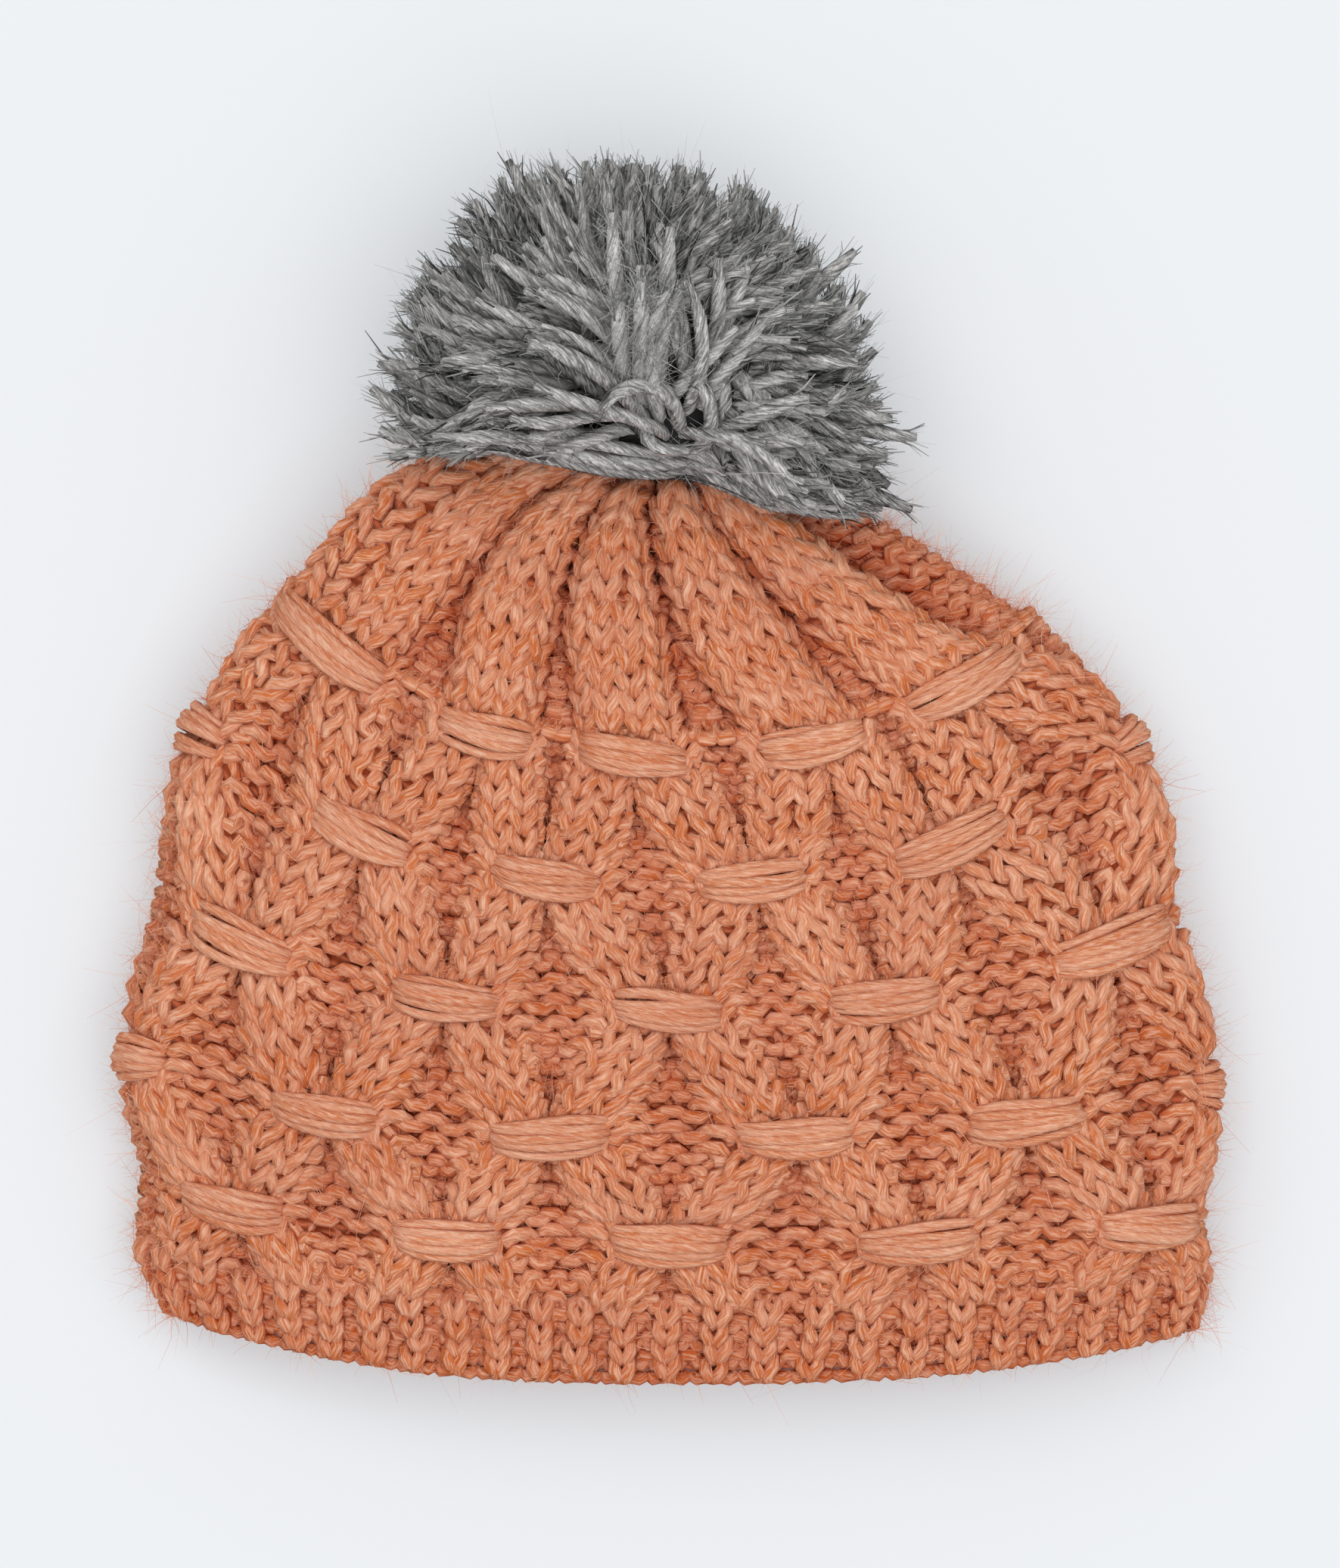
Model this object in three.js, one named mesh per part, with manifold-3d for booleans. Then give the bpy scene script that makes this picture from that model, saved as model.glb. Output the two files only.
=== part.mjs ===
// A hand-knitted pom-pom hat, lying flat on its back with the front facing up, in millimetres.
// +Z is up, +Y runs from the hem to the pompom and +X is the wearer's left as the front is seen from above.
// The origin is on the surface the hat lies on, below the middle of its outline.
//
// The knit is a closed tube of stitches, given by two coordinates: a row, counted from the cast-on edge,
// and a station, counted round the hat in pattern repeats. Its ribs are two stitches wide, and rows of
// wraps gather them in pairs, each row half a repeat further on, so that they zigzag round hollow diamonds.
import * as THREE from "three";
import { ParametricGeometry } from "three/addons/geometries/ParametricGeometry.js";
import { mergeVertices } from "three/addons/utils/BufferGeometryUtils.js";
import Module from "manifold-3d";

const wasm = await Module();
wasm.setup();

// Driving sizes
const REPEATS = 10;              // pattern repeats round the hat, two ribs in each
const HEM_ROWS = 4;              // rows of one-by-one ribbing
const CROWN_ROW = 43;            // the row that is drawn together round the tie
const LEFT_FOLD = -0.6;          // station of the fold at the left side
const RIGHT_FOLD = 4.4;          // station of the fold at the right side
const BODY_WALL = 7.5;           // from the middle of the knit's outer face to its inner face
const HEM_WALL = 6;
const SEAM_ROWS = 0.07;          // half the gap between hem and body, in rows, which is about 0.25 mm
const FRONT_CURVE = 3;           // how square the front's cross-section is
const BACK_CURVE = 5;            // the back lies flatter than the front
const ROW_SWEEP = 2.6;           // how late a row turns up on its way to the folds

// Relief of the knit, from the middle of its outer face
const RIB_RISE = 2.4;
const PANEL_SINK = 1.8;          // a diamond of purl stitches where it is widest
const PLEAT_SINK = 3.6;          // and where a wrap has closed it
const HEM_RELIEF = 0.9;
const WRAP_RISE = 4.6;
const WRAP_TOP_ROWS = 0.55;      // half of a wrap's height along the rib, over its top and at its foot
const WRAP_FOOT_ROWS = 1;
const WRAP_HALF_WIDTH = 0.25;    // in stations

// Widths in stations, one station being one repeat of about 47 mm
const RIB_HALF = 0.108;          // half of a rib of two stitches
const CROWN_RIB_HALF = 0.2;      // the same on the crown, where the ribs spread until they meet
const PAIR_HALF = 0.125;         // from a wrap's middle to the middle of each rib it gathers
const EVEN_HALF = 0.25;          // the same where nothing gathers them

// Cross-sections of the hat, from the cast-on edge to the crown. left and right are the folds seen from
// above, mid_y is the row's lowest point between them, and the heights are those of the front, the folds
// and the back.
const SECTIONS = [
  { row: 0, left: [-103, -114], right: [109, -117], mid_y: -127, front: 26, fold: 12.5, back: 0.9 },
  { row: 4, left: [-109, -100], right: [111.5, -105], mid_y: -111.5, front: 30, fold: 14, back: 1.2 },
  { row: 7, left: [-109.5, -85], right: [111.5, -94], mid_y: -98, front: 33, fold: 15.5, back: 1.8 },
  { row: 12, left: [-110.6, -60], right: [111.2, -66], mid_y: -76, front: 37, fold: 17, back: 1.8 },
  { row: 18, left: [-106, -27], right: [106.5, -30], mid_y: -50, front: 40, fold: 18, back: 1.8 },
  { row: 24, left: [-97, 7.5], right: [95.5, 5], mid_y: -24, front: 42, fold: 19, back: 1.8 },
  { row: 30, left: [-80, 35], right: [77.5, 29], mid_y: 1.7, front: 43, fold: 20, back: 1.8 },
  { row: 34.3, left: [-69, 48.5], right: [66, 38.5], mid_y: 20, front: 43, fold: 21, back: 4 },
  { row: 38.3, left: [-50, 62.5], right: [46, 51.5], mid_y: 38.5, front: 41, fold: 25, back: 11 },
  { row: 41.3, left: [-29, 66], right: [24, 60], mid_y: 53, front: 39, fold: 28, back: 17 },
  { row: CROWN_ROW, left: [-9, 63], right: [7, 63], mid_y: 62, front: 34, fold: 28, back: 22 },
];

// Where the gathered ribs of the front have their middles at the same rows, from station first on.
const GATHERS = [
  { first: 0, wraps_x: [-84, -43, 0, 50, 95] },
  { first: 0, wraps_x: [-87, -44, 0, 51, 98] },
  { first: 0, wraps_x: [-88.9, -45.3, 0, 51.5, 99.5] },
  { first: 0.5, wraps_x: [-69.5, -24.4, 26.5, 72.5] },
  { first: 0, wraps_x: [-86.5, -45.3, 0, 44.2, 90.2] },
  { first: 0.5, wraps_x: [-61.5, -25.2, 17.6, 56.3] },
  { first: 0, wraps_x: [-67.9, -36.5, -8.2, 30.5, 58.3] },
  { first: 0, wraps_x: [-57, -33.2, -10.6, 17.6, 46] },
  { first: 0, wraps_x: [-41, -27.6, -11.4, 7.9, 27] },
  { first: 0, wraps_x: [-24, -17, -9, 1.5, 13] },
  { first: 0, wraps_x: [-6.5, -4.5, -1.5, 2, 4.5] },
];

// Rows of wraps. gathers is 1 where the pairs of ribs meet at whole stations and -1 at half ones.
const WRAP_ROWS = [
  { row: 7, gathers: 1 },
  { row: 12, gathers: -1 },
  { row: 18, gathers: 1 },
  { row: 24, gathers: -1 },
  { row: 30, gathers: 1 },
];

// Pompom: a dome whose underside is pressed against the crown
const POMPOM_MIDDLE = new THREE.Vector3(-6, 71.5, 43.5);
const POMPOM_REACH = new THREE.Vector3(56.5, 54.5, 45);   // to the cut ends of its strands
const POMPOM_REACH_DOWN = 18;                             // towards the crown
const POMPOM_ROOT = new THREE.Vector3(0, 66, 40);         // where the tie binds the strands
const CORE_SHARE = 0.84;         // of the reach
const LOCKS = 42;
const LOCKS_LOWEST = -0.75;      // how far round the underside they go, as a share of the sphere's height
const LOCK_RADIUS = 12;
const CLEARANCE = 0.35;          // between the pompom and what it lies on

// Tie
const TIE_RADIUS = 2.6;
const CROWN_HOLE = 3.2;
const KNOT_RADIUS = 3.8;
const TIE_FROM_Y = 41.5;
const TIE_TO_Y = 66;

// A smooth curve through points (xs, ys), read at x. Its slopes are those of its neighbours' chords,
// and it is level at its two ends if level is true.
function through(xs, ys, x, level) {
  const last = xs.length - 1;
  const slope = (k) => {
    if (k === 0 || k === last) {
      if (level) return 0;
      return k === 0 ? (ys[1] - ys[0]) / (xs[1] - xs[0]) : (ys[last] - ys[last - 1]) / (xs[last] - xs[last - 1]);
    }
    return (ys[k + 1] - ys[k - 1]) / (xs[k + 1] - xs[k - 1]);
  };
  const at = THREE.MathUtils.clamp(x, xs[0], xs[last]);
  let k = 0;
  while (k < last - 1 && at > xs[k + 1]) k += 1;
  const width = xs[k + 1] - xs[k];
  const t = (at - xs[k]) / width;
  const rise = t * t * (3 - 2 * t);
  return ys[k] * (1 - rise) + ys[k + 1] * rise
    + width * (slope(k) * t * (1 - t) ** 2 - slope(k + 1) * t * t * (1 - t));
}

// The station on the front that lies above or at the given one, which may be on the back.
function overStation(station) {
  const round = THREE.MathUtils.euclideanModulo(station - LEFT_FOLD, REPEATS) + LEFT_FOLD;
  return round <= RIGHT_FOLD ? { over: round, side: 1 } : { over: 2 * RIGHT_FOLD - round, side: -1 };
}

// A point of the hat's face at a station and row, its wall taken in by inset.
function facePoint(station, row, inset) {
  const { over, side } = overStation(station);
  const rows = SECTIONS.map((s) => s.row);
  const along = (read) => through(rows, SECTIONS.map(read), row, false);
  const left = along((s) => s.left[0]);
  const right = along((s) => s.right[0]);
  const x = along((s, n) => {
    const { first, wraps_x } = GATHERS[n];
    const stations = [LEFT_FOLD, ...wraps_x.map((_, k) => first + k), RIGHT_FOLD];
    return through(stations, [s.left[0], ...wraps_x, s.right[0]], over, true);
  });
  const middle = (left + right) / 2;
  const half = (right - left) / 2;
  const share = THREE.MathUtils.clamp((x - middle) / half, -1, 1);
  const midY = along((s) => s.mid_y);
  const endY = share < 0 ? along((s) => s.left[1]) : along((s) => s.right[1]);
  const y = midY + (endY - midY) * Math.abs(share) ** ROW_SWEEP;
  const fold = along((s) => s.fold);
  const height = side > 0 ? along((s) => s.front) - inset - fold : along((s) => s.back) + inset - fold;
  const curve = side > 0 ? FRONT_CURVE : BACK_CURVE;
  const z = fold + height * Math.sqrt(1 - Math.abs(share) ** curve);
  return new THREE.Vector3(middle + share * (half - inset), y, z);
}

// The outward direction of the face, from its slopes round the hat and along it.
function faceNormal(station, row) {
  const step = 0.02;
  const low = Math.min(row, CROWN_ROW - 0.1);
  const across = facePoint(station + step, low, 0).sub(facePoint(station - step, low, 0));
  const up = facePoint(station, low + 0.1, 0).sub(facePoint(station, low - 0.1, 0));
  return across.cross(up).normalize();
}

// How far the ribs are drawn to the whole stations, 1, or to the half ones, -1, at a row.
function gatherAt(row) {
  const first = WRAP_ROWS[0];
  const last = WRAP_ROWS[WRAP_ROWS.length - 1];
  if (row <= first.row) {
    return first.gathers * THREE.MathUtils.smoothstep(row, HEM_ROWS - 1, first.row);
  }
  if (row >= last.row) return last.gathers;
  const k = WRAP_ROWS.findIndex((w) => w.row > row);
  const from = WRAP_ROWS[k - 1];
  const t = (row - from.row) / (WRAP_ROWS[k].row - from.row);
  return from.gathers * Math.cos(Math.PI * t);
}

// Half the width of a rib, in stations.
function ribHalf(row) {
  const last = WRAP_ROWS[WRAP_ROWS.length - 1].row;
  return RIB_HALF + (CROWN_RIB_HALF - RIB_HALF) * THREE.MathUtils.smoothstep(row, last + 1, last + 9);
}

// Middle of rib number k, in stations.
function ribMiddle(k, row) {
  const toRight = k % 2 === 0 ? 1 : -1;
  const half = ribHalf(row);
  const pair = PAIR_HALF - RIB_HALF + half;
  return (k + 0.5) / 2 - toRight * (EVEN_HALF - pair) * gatherAt(row);
}

// The lines of the knit round the hat, four to a rib: its two edges and the two sides of the purl panel to
// its right. Each has the share of the rib's half width or of the panel's width at which it runs.
const LINE_KINDS = [
  { panel: false, share: -0.8 },
  { panel: false, share: 0.8 },
  { panel: true, share: 0.16 },
  { panel: true, share: 0.84 },
];
const LINES = LINE_KINDS.length * 2 * REPEATS;

// How much of the relief is left at a row: none where the crown is drawn together.
const reliefShare = (row) => 1 - THREE.MathUtils.smoothstep(row, CROWN_ROW - 4, CROWN_ROW);

// Station and relief of one line of the knit at a row.
function knitLine(line, row) {
  const k = Math.floor(line / LINE_KINDS.length);
  const { panel, share } = LINE_KINDS[line % LINE_KINDS.length];
  const half = ribHalf(row);
  const here = ribMiddle(k, row);
  const fade = reliefShare(row);
  if (!panel) return { station: here + half * share, relief: RIB_RISE * fade };
  const gap = ribMiddle(k + 1, row) - here - 2 * half;
  const widest = 4 * EVEN_HALF - 2 * PAIR_HALF - 2 * RIB_HALF;
  const open = THREE.MathUtils.clamp(gap / widest, 0, 1);
  const sink = PANEL_SINK + (PLEAT_SINK - PANEL_SINK) * (1 - open) ** 2;
  return { station: here + half + gap * share, relief: -sink * fade };
}

// Rise of the wraps over the ribs they gather.
function wrapRise(station, row) {
  const wrap = WRAP_ROWS.find((w) => Math.abs(row - w.row) < WRAP_FOOT_ROWS);
  if (!wrap) return 0;
  const from = wrap.gathers > 0 ? station - Math.round(station) : station - Math.floor(station) - 0.5;
  return Math.abs(from) < WRAP_HALF_WIDTH ? WRAP_RISE : 0;
}

// A point of the body's outer face, flat where it lies on the floor.
function bodyOuter(line, row) {
  const { station, relief } = knitLine(line, row);
  const point = facePoint(station, row, 0);
  const lift = Math.max(relief, wrapRise(station, row));
  point.addScaledVector(faceNormal(station, row), lift);
  point.z = Math.max(point.z, 0);
  return point;
}

// A point on a round edge of the crown's hole.
function crownRing(line, radius, y) {
  const centre = facePoint(LEFT_FOLD, CROWN_ROW, 0).lerp(facePoint(RIGHT_FOLD, CROWN_ROW, 0), 0.5);
  const from = bodyOuter(line, CROWN_ROW).sub(centre);
  const angle = Math.atan2(from.z, from.x);
  return new THREE.Vector3(centre.x + radius * Math.cos(angle), y, centre.z + radius * Math.sin(angle));
}

// A closed tube whose rings are given by functions of a line's number, joined in a loop.
function ringsToGeometry(rings, lines) {
  const place = (u, v, target) => {
    const line = Math.round(u * lines) % lines;
    const ring = Math.round(v * rings.length) % rings.length;
    target.copy(rings[ring](line));
  };
  const geometry = new ParametricGeometry(place, lines, rings.length);
  geometry.deleteAttribute("normal");
  geometry.deleteAttribute("uv");
  return mergeVertices(geometry, 1e-3);
}

// A closed geometry as a manifold-3d solid.
function solid(geometry) {
  const bare = geometry.clone();
  bare.deleteAttribute("normal");
  bare.deleteAttribute("uv");
  const merged = mergeVertices(bare, 1e-3);
  return new wasm.Manifold(new wasm.Mesh({
    numProp: 3,
    vertProperties: new Float32Array(merged.attributes.position.array),
    triVerts: new Uint32Array(merged.index.array),
  }));
}

// A manifold-3d solid as a three.js geometry.
function geometryOf(manifold) {
  const mesh = manifold.getMesh();
  const geometry = new THREE.BufferGeometry();
  geometry.setAttribute("position", new THREE.BufferAttribute(mesh.vertProperties, 3));
  geometry.setIndex(new THREE.BufferAttribute(mesh.triVerts, 1));
  return geometry;
}

// Evenly spaced rows from one to another, both included.
const rowsBetween = (from, to, count) => Array.from({ length: count }, (_, k) => from + ((to - from) * k) / (count - 1));

// The rows of the crown's rings, past the last wraps.
const crownRows = () => rowsBetween(WRAP_ROWS[WRAP_ROWS.length - 1].row + 2.3, CROWN_ROW - 1, 8);

// The rows of the body's rings: the foot and top of every wrap and two rows between each and the next,
// then those of the crown.
function bodyRows() {
  const rows = WRAP_ROWS.flatMap(({ row }) => [
    row - WRAP_FOOT_ROWS,
    row - WRAP_TOP_ROWS,
    row + WRAP_TOP_ROWS,
    row + WRAP_FOOT_ROWS,
    ...(row < WRAP_ROWS[WRAP_ROWS.length - 1].row ? [row + 2.3, row + 3.7] : []),
  ]);
  return [...rows, ...crownRows()];
}

// Knitted body: hem seam to crown outside, the crown's hole, and back down inside.
function knitBody() {
  const bottom = HEM_ROWS + SEAM_ROWS;
  const outer = [bottom, ...bodyRows()];
  const inner = rowsBetween(CROWN_ROW - 3.5, bottom, 6);
  const innerPoint = (line, row) => facePoint(knitLine(line, row).station, row, BODY_WALL);
  const crownY = facePoint(0, CROWN_ROW, 0).y;
  const rings = [
    ...outer.map((row) => (line) => bodyOuter(line, row)),
    (line) => crownRing(line, 2 * CROWN_HOLE, crownY),
    (line) => crownRing(line, CROWN_HOLE, crownY),
    (line) => crownRing(line, CROWN_HOLE, crownY - BODY_WALL),
    ...inner.map((row) => (line) => innerPoint(line, row)),
  ];
  return ringsToGeometry(rings, LINES);
}

// The crown's outer shape as a plain closed solid that clears its ribs, for cutting the pompom.
function crownEnvelope() {
  const crownY = facePoint(0, CROWN_ROW, 0).y + 2 * CLEARANCE;
  const outside = (line, row) => {
    const { station } = knitLine(line, row);
    const rib = RIB_RISE * reliefShare(row);
    return facePoint(station, row, 0).addScaledVector(faceNormal(station, row), rib + CLEARANCE);
  };
  const middle = facePoint(LEFT_FOLD, CROWN_ROW, 0).lerp(facePoint(RIGHT_FOLD, CROWN_ROW, 0), 0.5);
  const inside = facePoint(RIGHT_FOLD / 2, CROWN_ROW - 9, BODY_WALL);
  const rings = [
    ...crownRows().map((row) => (line) => outside(line, row)),
    (line) => crownRing(line, 2 * CROWN_HOLE + CLEARANCE, crownY),
    () => new THREE.Vector3(middle.x, crownY, middle.z),
    () => new THREE.Vector3(middle.x, inside.y, middle.z),
  ];
  return solid(ringsToGeometry(rings, LINES));
}

// Ribbed hem: knit ridges and purl grooves in turn, cast-on edge downwards.
function ribbedHem() {
  const lines = 100;
  const top = HEM_ROWS - SEAM_ROWS;
  const station = (line) => (line * REPEATS) / lines;
  const outerPoint = (line, row) => {
    const relief = line % 2 === 0 ? HEM_RELIEF : -HEM_RELIEF;
    const point = facePoint(station(line), row, 0);
    point.addScaledVector(faceNormal(station(line), row), relief);
    point.z = Math.max(point.z, 0);
    return point;
  };
  const rings = [
    ...rowsBetween(0.4, top, 2).map((row) => (line) => outerPoint(line, row)),
    ...rowsBetween(top, 0.4, 2).map((row) => (line) => facePoint(station(line), row, HEM_WALL)),
    (line) => facePoint(station(line), 0, HEM_WALL / 2),
  ];
  return ringsToGeometry(rings, lines);
}

// The place on the pompom's outside, or at a share of the way to it, in a direction from its middle.
function pompomPoint(direction, share) {
  const down = direction.y < 0 ? POMPOM_REACH_DOWN / POMPOM_REACH.y : 1;
  const reach = direction.clone().multiply(POMPOM_REACH).multiplyScalar(share);
  reach.y *= down;
  return reach.add(POMPOM_MIDDLE);
}

// Direction number k of the pompom's locks, spread evenly over the part of the sphere that has them.
function lockDirection(k) {
  const up = 1 - ((1 - LOCKS_LOWEST) * (k + 0.5)) / LOCKS;
  const turn = k * Math.PI * (3 - Math.sqrt(5));
  const flat = Math.sqrt(1 - up * up);
  return new THREE.Vector3(flat * Math.cos(turn), up, flat * Math.sin(turn));
}

// One lock of strands, from the root outwards: fullest near its blunt cut end.
function lock(k) {
  const end = pompomPoint(lockDirection(k), 1).sub(POMPOM_ROOT);
  const length = end.length() * (0.96 + 0.04 * Math.cos(2.4 * k));
  const profile = [[0, 0.5], [0.6, 0.55], [1, 0.86], [0.62, 1], [0, 1.01]];
  const points = profile.map(([radius, share]) => new THREE.Vector2(radius * LOCK_RADIUS, share * length));
  const geometry = new THREE.LatheGeometry(points, 5);
  geometry.applyQuaternion(new THREE.Quaternion().setFromUnitVectors(new THREE.Vector3(0, 1, 0), end.normalize()));
  geometry.translate(POMPOM_ROOT.x, POMPOM_ROOT.y, POMPOM_ROOT.z);
  return solid(geometry);
}

// Pompom: locks fused to a core, flat where it lies on the floor and cut clear of the crown and the tie.
function pompom() {
  const core = new THREE.SphereGeometry(1, 12, 8);
  const corners = core.attributes.position;
  for (let k = 0; k < corners.count; k += 1) {
    const place = pompomPoint(new THREE.Vector3().fromBufferAttribute(corners, k), CORE_SHARE);
    corners.setXYZ(k, place.x, place.y, place.z);
  }
  const locks = Array.from({ length: LOCKS }, (_, k) => lock(k));
  const ball = wasm.Manifold.union([solid(core), ...locks]);
  const below = new THREE.BoxGeometry(300, 300, 100);
  below.translate(0, POMPOM_MIDDLE.y, -50);
  const socket = tieSolid(TIE_RADIUS + CLEARANCE, KNOT_RADIUS, TIE_TO_Y + CLEARANCE);
  const cut = ball.subtract(solid(below)).subtract(crownEnvelope()).subtract(socket);
  const bodies = cut.decompose().sort((a, b) => b.volume() - a.volume());
  return geometryOf(bodies[0]);
}

// Tie: a cord through the crown's hole, knotted inside the hat, its other end in the pompom.
function tieSolid(radius, knot, endY) {
  const profile = [[0, 0], [knot * 0.8, 0.8], [knot, 3], [knot * 0.6, 5], [radius, 5.6], [radius, endY - TIE_FROM_Y], [0, endY - TIE_FROM_Y]];
  const geometry = new THREE.LatheGeometry(profile.map(([x, y]) => new THREE.Vector2(x, y)), 10);
  const crown = facePoint(LEFT_FOLD, CROWN_ROW, 0).lerp(facePoint(RIGHT_FOLD, CROWN_ROW, 0), 0.5);
  geometry.translate(crown.x, TIE_FROM_Y, crown.z);
  return solid(geometry);
}

const wool = new THREE.MeshStandardMaterial({ color: "rgb(194, 125, 94)", roughness: 0.95, metalness: 0 });
const greyWool = new THREE.MeshStandardMaterial({ color: "rgb(112, 111, 110)", roughness: 0.95, metalness: 0 });

const hat = new THREE.Group();
const pieces = [
  ["knit_body", knitBody(), wool],
  ["ribbed_hem", ribbedHem(), wool],
  ["pompom", pompom(), greyWool],
  ["pompom_tie", geometryOf(tieSolid(TIE_RADIUS, KNOT_RADIUS, TIE_TO_Y)), wool],
];
for (const [name, geometry, material] of pieces) {
  const mesh = new THREE.Mesh(geometry, material);
  mesh.name = name;
  hat.add(mesh);
}

export default hat;
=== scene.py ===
"""A hand-knitted pom-pom hat lying flat, seen from straight above, made of its own yarn.

Every stitch is a length of yarn worked out by formula and laid on one smooth surface, the lay of the hat,
which has two coordinates: a row, counted from the cast-on edge, and a station, counted round the hat in
pattern repeats. The hat's sizes are in millimetres until a mesh is made, and metres from then on.
"""

import math

import bpy
import numpy as np
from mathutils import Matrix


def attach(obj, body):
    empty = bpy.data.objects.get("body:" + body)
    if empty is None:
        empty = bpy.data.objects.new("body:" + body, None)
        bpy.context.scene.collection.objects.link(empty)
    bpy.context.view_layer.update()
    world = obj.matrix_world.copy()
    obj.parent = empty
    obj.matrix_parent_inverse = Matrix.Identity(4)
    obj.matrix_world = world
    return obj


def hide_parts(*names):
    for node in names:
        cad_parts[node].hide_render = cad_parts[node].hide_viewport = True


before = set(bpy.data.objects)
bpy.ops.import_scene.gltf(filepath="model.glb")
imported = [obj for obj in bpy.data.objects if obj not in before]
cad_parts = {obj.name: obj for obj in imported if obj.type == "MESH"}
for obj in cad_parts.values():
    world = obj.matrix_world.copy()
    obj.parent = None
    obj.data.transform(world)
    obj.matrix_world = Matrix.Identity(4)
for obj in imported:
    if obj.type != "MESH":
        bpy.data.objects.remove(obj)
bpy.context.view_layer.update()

MM = 0.001
TURN = 2 * np.pi

# The lay of the hat, whose places round it are in stations
REPEATS = 10
STITCHES = 100  # stitches round the hat
HEM_ROWS = 4
CROWN_ROW = 43  # the row that is drawn together round the tie
LEFT_FOLD = -0.6
RIGHT_FOLD = 4.4
LAST_RIB = 4  # the last whole station in front of the right fold
FOLD_SHIFT = 0.2  # how far round the hat both folds have moved at the crown
FOLD_SHIFT_ROWS = (21, 31)
FRONT_CURVE = 3  # how square the cross-section is in front
BACK_CURVE = 5
ROW_SWEEP = 2.6  # how late the rows turn up towards the folds
PAIR_GAP = 0.017  # between the ribs of a gathered pair, in stations
KNIT_STITCH = 5.3  # width of a knit stitch
LEAN_SPREAD = 0.26  # share by which a rib is wider where it leans most
FULL_RIB = 0.228  # half of a rib's width in stations where the ribs of the crown have met
# row, and the width of a station in front there
STATION_WIDTHS = np.array([
    (0, 46), (7, 47), (12, 47.3), (18, 44.5), (24, 39.5), (30, 32.5),
    (34.3, 26), (38.3, 17), (41.3, 9), (43, 2.6),
])
WRAP_ROWS = (7, 12, 18, 24, 30)
WRAP_GATHERS = (1, -1, 1, -1, 1)  # 1 for a row that gathers at whole stations, -1 for one at half ones
CROWN_START = 31

# row, left fold x and y, right fold x and y, lowest y between, heights of the front, the folds and the back
SECTIONS = np.array([
    (0, -103, -114, 109, -117, -127, 26, 12.5, 0.9),
    (4, -109, -100, 111.5, -105, -111.5, 30, 14, 1.2),
    (7, -109.5, -85, 111.5, -94, -98, 33, 15.5, 1.8),
    (12, -110.6, -60, 111.2, -66, -76, 37, 17, 1.8),
    (18, -106, -27, 106.5, -30, -50, 40, 18, 1.8),
    (24, -97, 7.5, 95.5, 5, -24, 42, 19, 1.8),
    (30, -80, 35, 77.5, 29, 1.7, 43, 20, 1.8),
    (34.3, -69, 48.5, 66, 38.5, 20, 43, 21, 4),
    (38.3, -50, 62.5, 46, 51.5, 38.5, 41, 25, 11),
    (41.3, -29, 66, 24, 60, 53, 39, 28, 17),
    (CROWN_ROW, -9, 63, 7, 63, 62, 34, 28, 22),
])
# first station, then the x of the gathered ribs from that station on, at the same rows
GATHERS = (
    (0, -84, -43, 0, 50, 95),
    (0, -87, -44, 0, 51, 98),
    (0, -88.9, -45.3, 0, 51.5, 99.5),
    (0.5, -69.5, -24.4, 26.5, 72.5),
    (0, -86.5, -45.3, 0, 44.2, 90.2),
    (0.5, -61.5, -25.2, 17.6, 56.3),
    (0, -67.9, -36.5, -8.2, 30.5, 58.3),
    (0, -57, -33.2, -10.6, 17.6, 46),
    (0, -41, -27.6, -11.4, 7.9, 27),
    (0, -24, -17, -9, 1.5, 13),
    (0, -6.5, -4.5, -1.5, 2, 4.5),
)

# Stitches: two knit ones make a rib, three purl ones a panel, and two ribs and two panels a station
RIB_STITCHES = 2
PANEL_STITCHES = 3
PATTERN = RIB_STITCHES + PANEL_STITCHES
PER_STATION = 10
FIRST_STITCH = 1.5  # station 0 lies this many stitches before the first one
# first row, then the knit stitches of a crown's rib and the purl stitches of its panel from that row on
CROWN_COUNTS = ((CROWN_START, 4, 3), (35, 4, 1), (37, 3, 0), (40, 2, 0))
LEFT_FOLD_ROW = 37  # from here on the ribs beside the left fold have two stitches more, before it one
RIGHT_FOLD_ROW = 34  # from here on the ribs beside the right fold have lost a stitch
RIGHT_PANEL_ROW = 39  # and from here on the panel there has

# Yarn and relief
YARN = 1.42  # radius
CLEARANCE = YARN * 1.2  # from the floor to the middle of the hat's yarn
STITCH_SWING = 1.75  # how far a loop leans out over its neighbours, in radians of a stitch
STITCH_RISE = 0.77  # half of a loop's height, in rows
STITCH_DEPTH = 1.15  # from the middle of the cloth to the yarn in front of it or behind it
RIB_RISE = 2.7
PANEL_SINK = 2.9
PLEAT_SINK = 5.0  # how far a panel sinks that has been drawn shut
PANEL_SIDE = 0.35  # share of a panel's width that slopes down on each side
OPEN_PANEL = 24  # width of a panel that lies fully open
CROWN_SWELL = 0.6  # how much higher the crown's ribs are
CROWN_DIP = 9.0  # how far the edges of the crown's ribs dip into the folds between them
CROWN_FLAT = 0.6  # share of the relief that is lost where the crown is drawn together
FOLD_RIB = 0.2  # half of the width, in stations, of the crown's ribs where they face the right fold
FOLD_RIB_MORE = 0.15  # what is added to it at the crown's first row
OPEN_FOLD = 12  # width of a fold between the crown's ribs that lies fully open
FOLD_SIDE = 0.7  # share of half a fold that slopes down
WRAP_HALVES = (12.4, 12.4, 11.8, 11.2, 11)  # half of the width of each row's wraps
HOLD_ACROSS = (0.85, 1.15)  # where a wrap's hold on the ribs fades, in shares of its half width
HOLD_ALONG = (0.5, 1.7)  # and in rows
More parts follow.
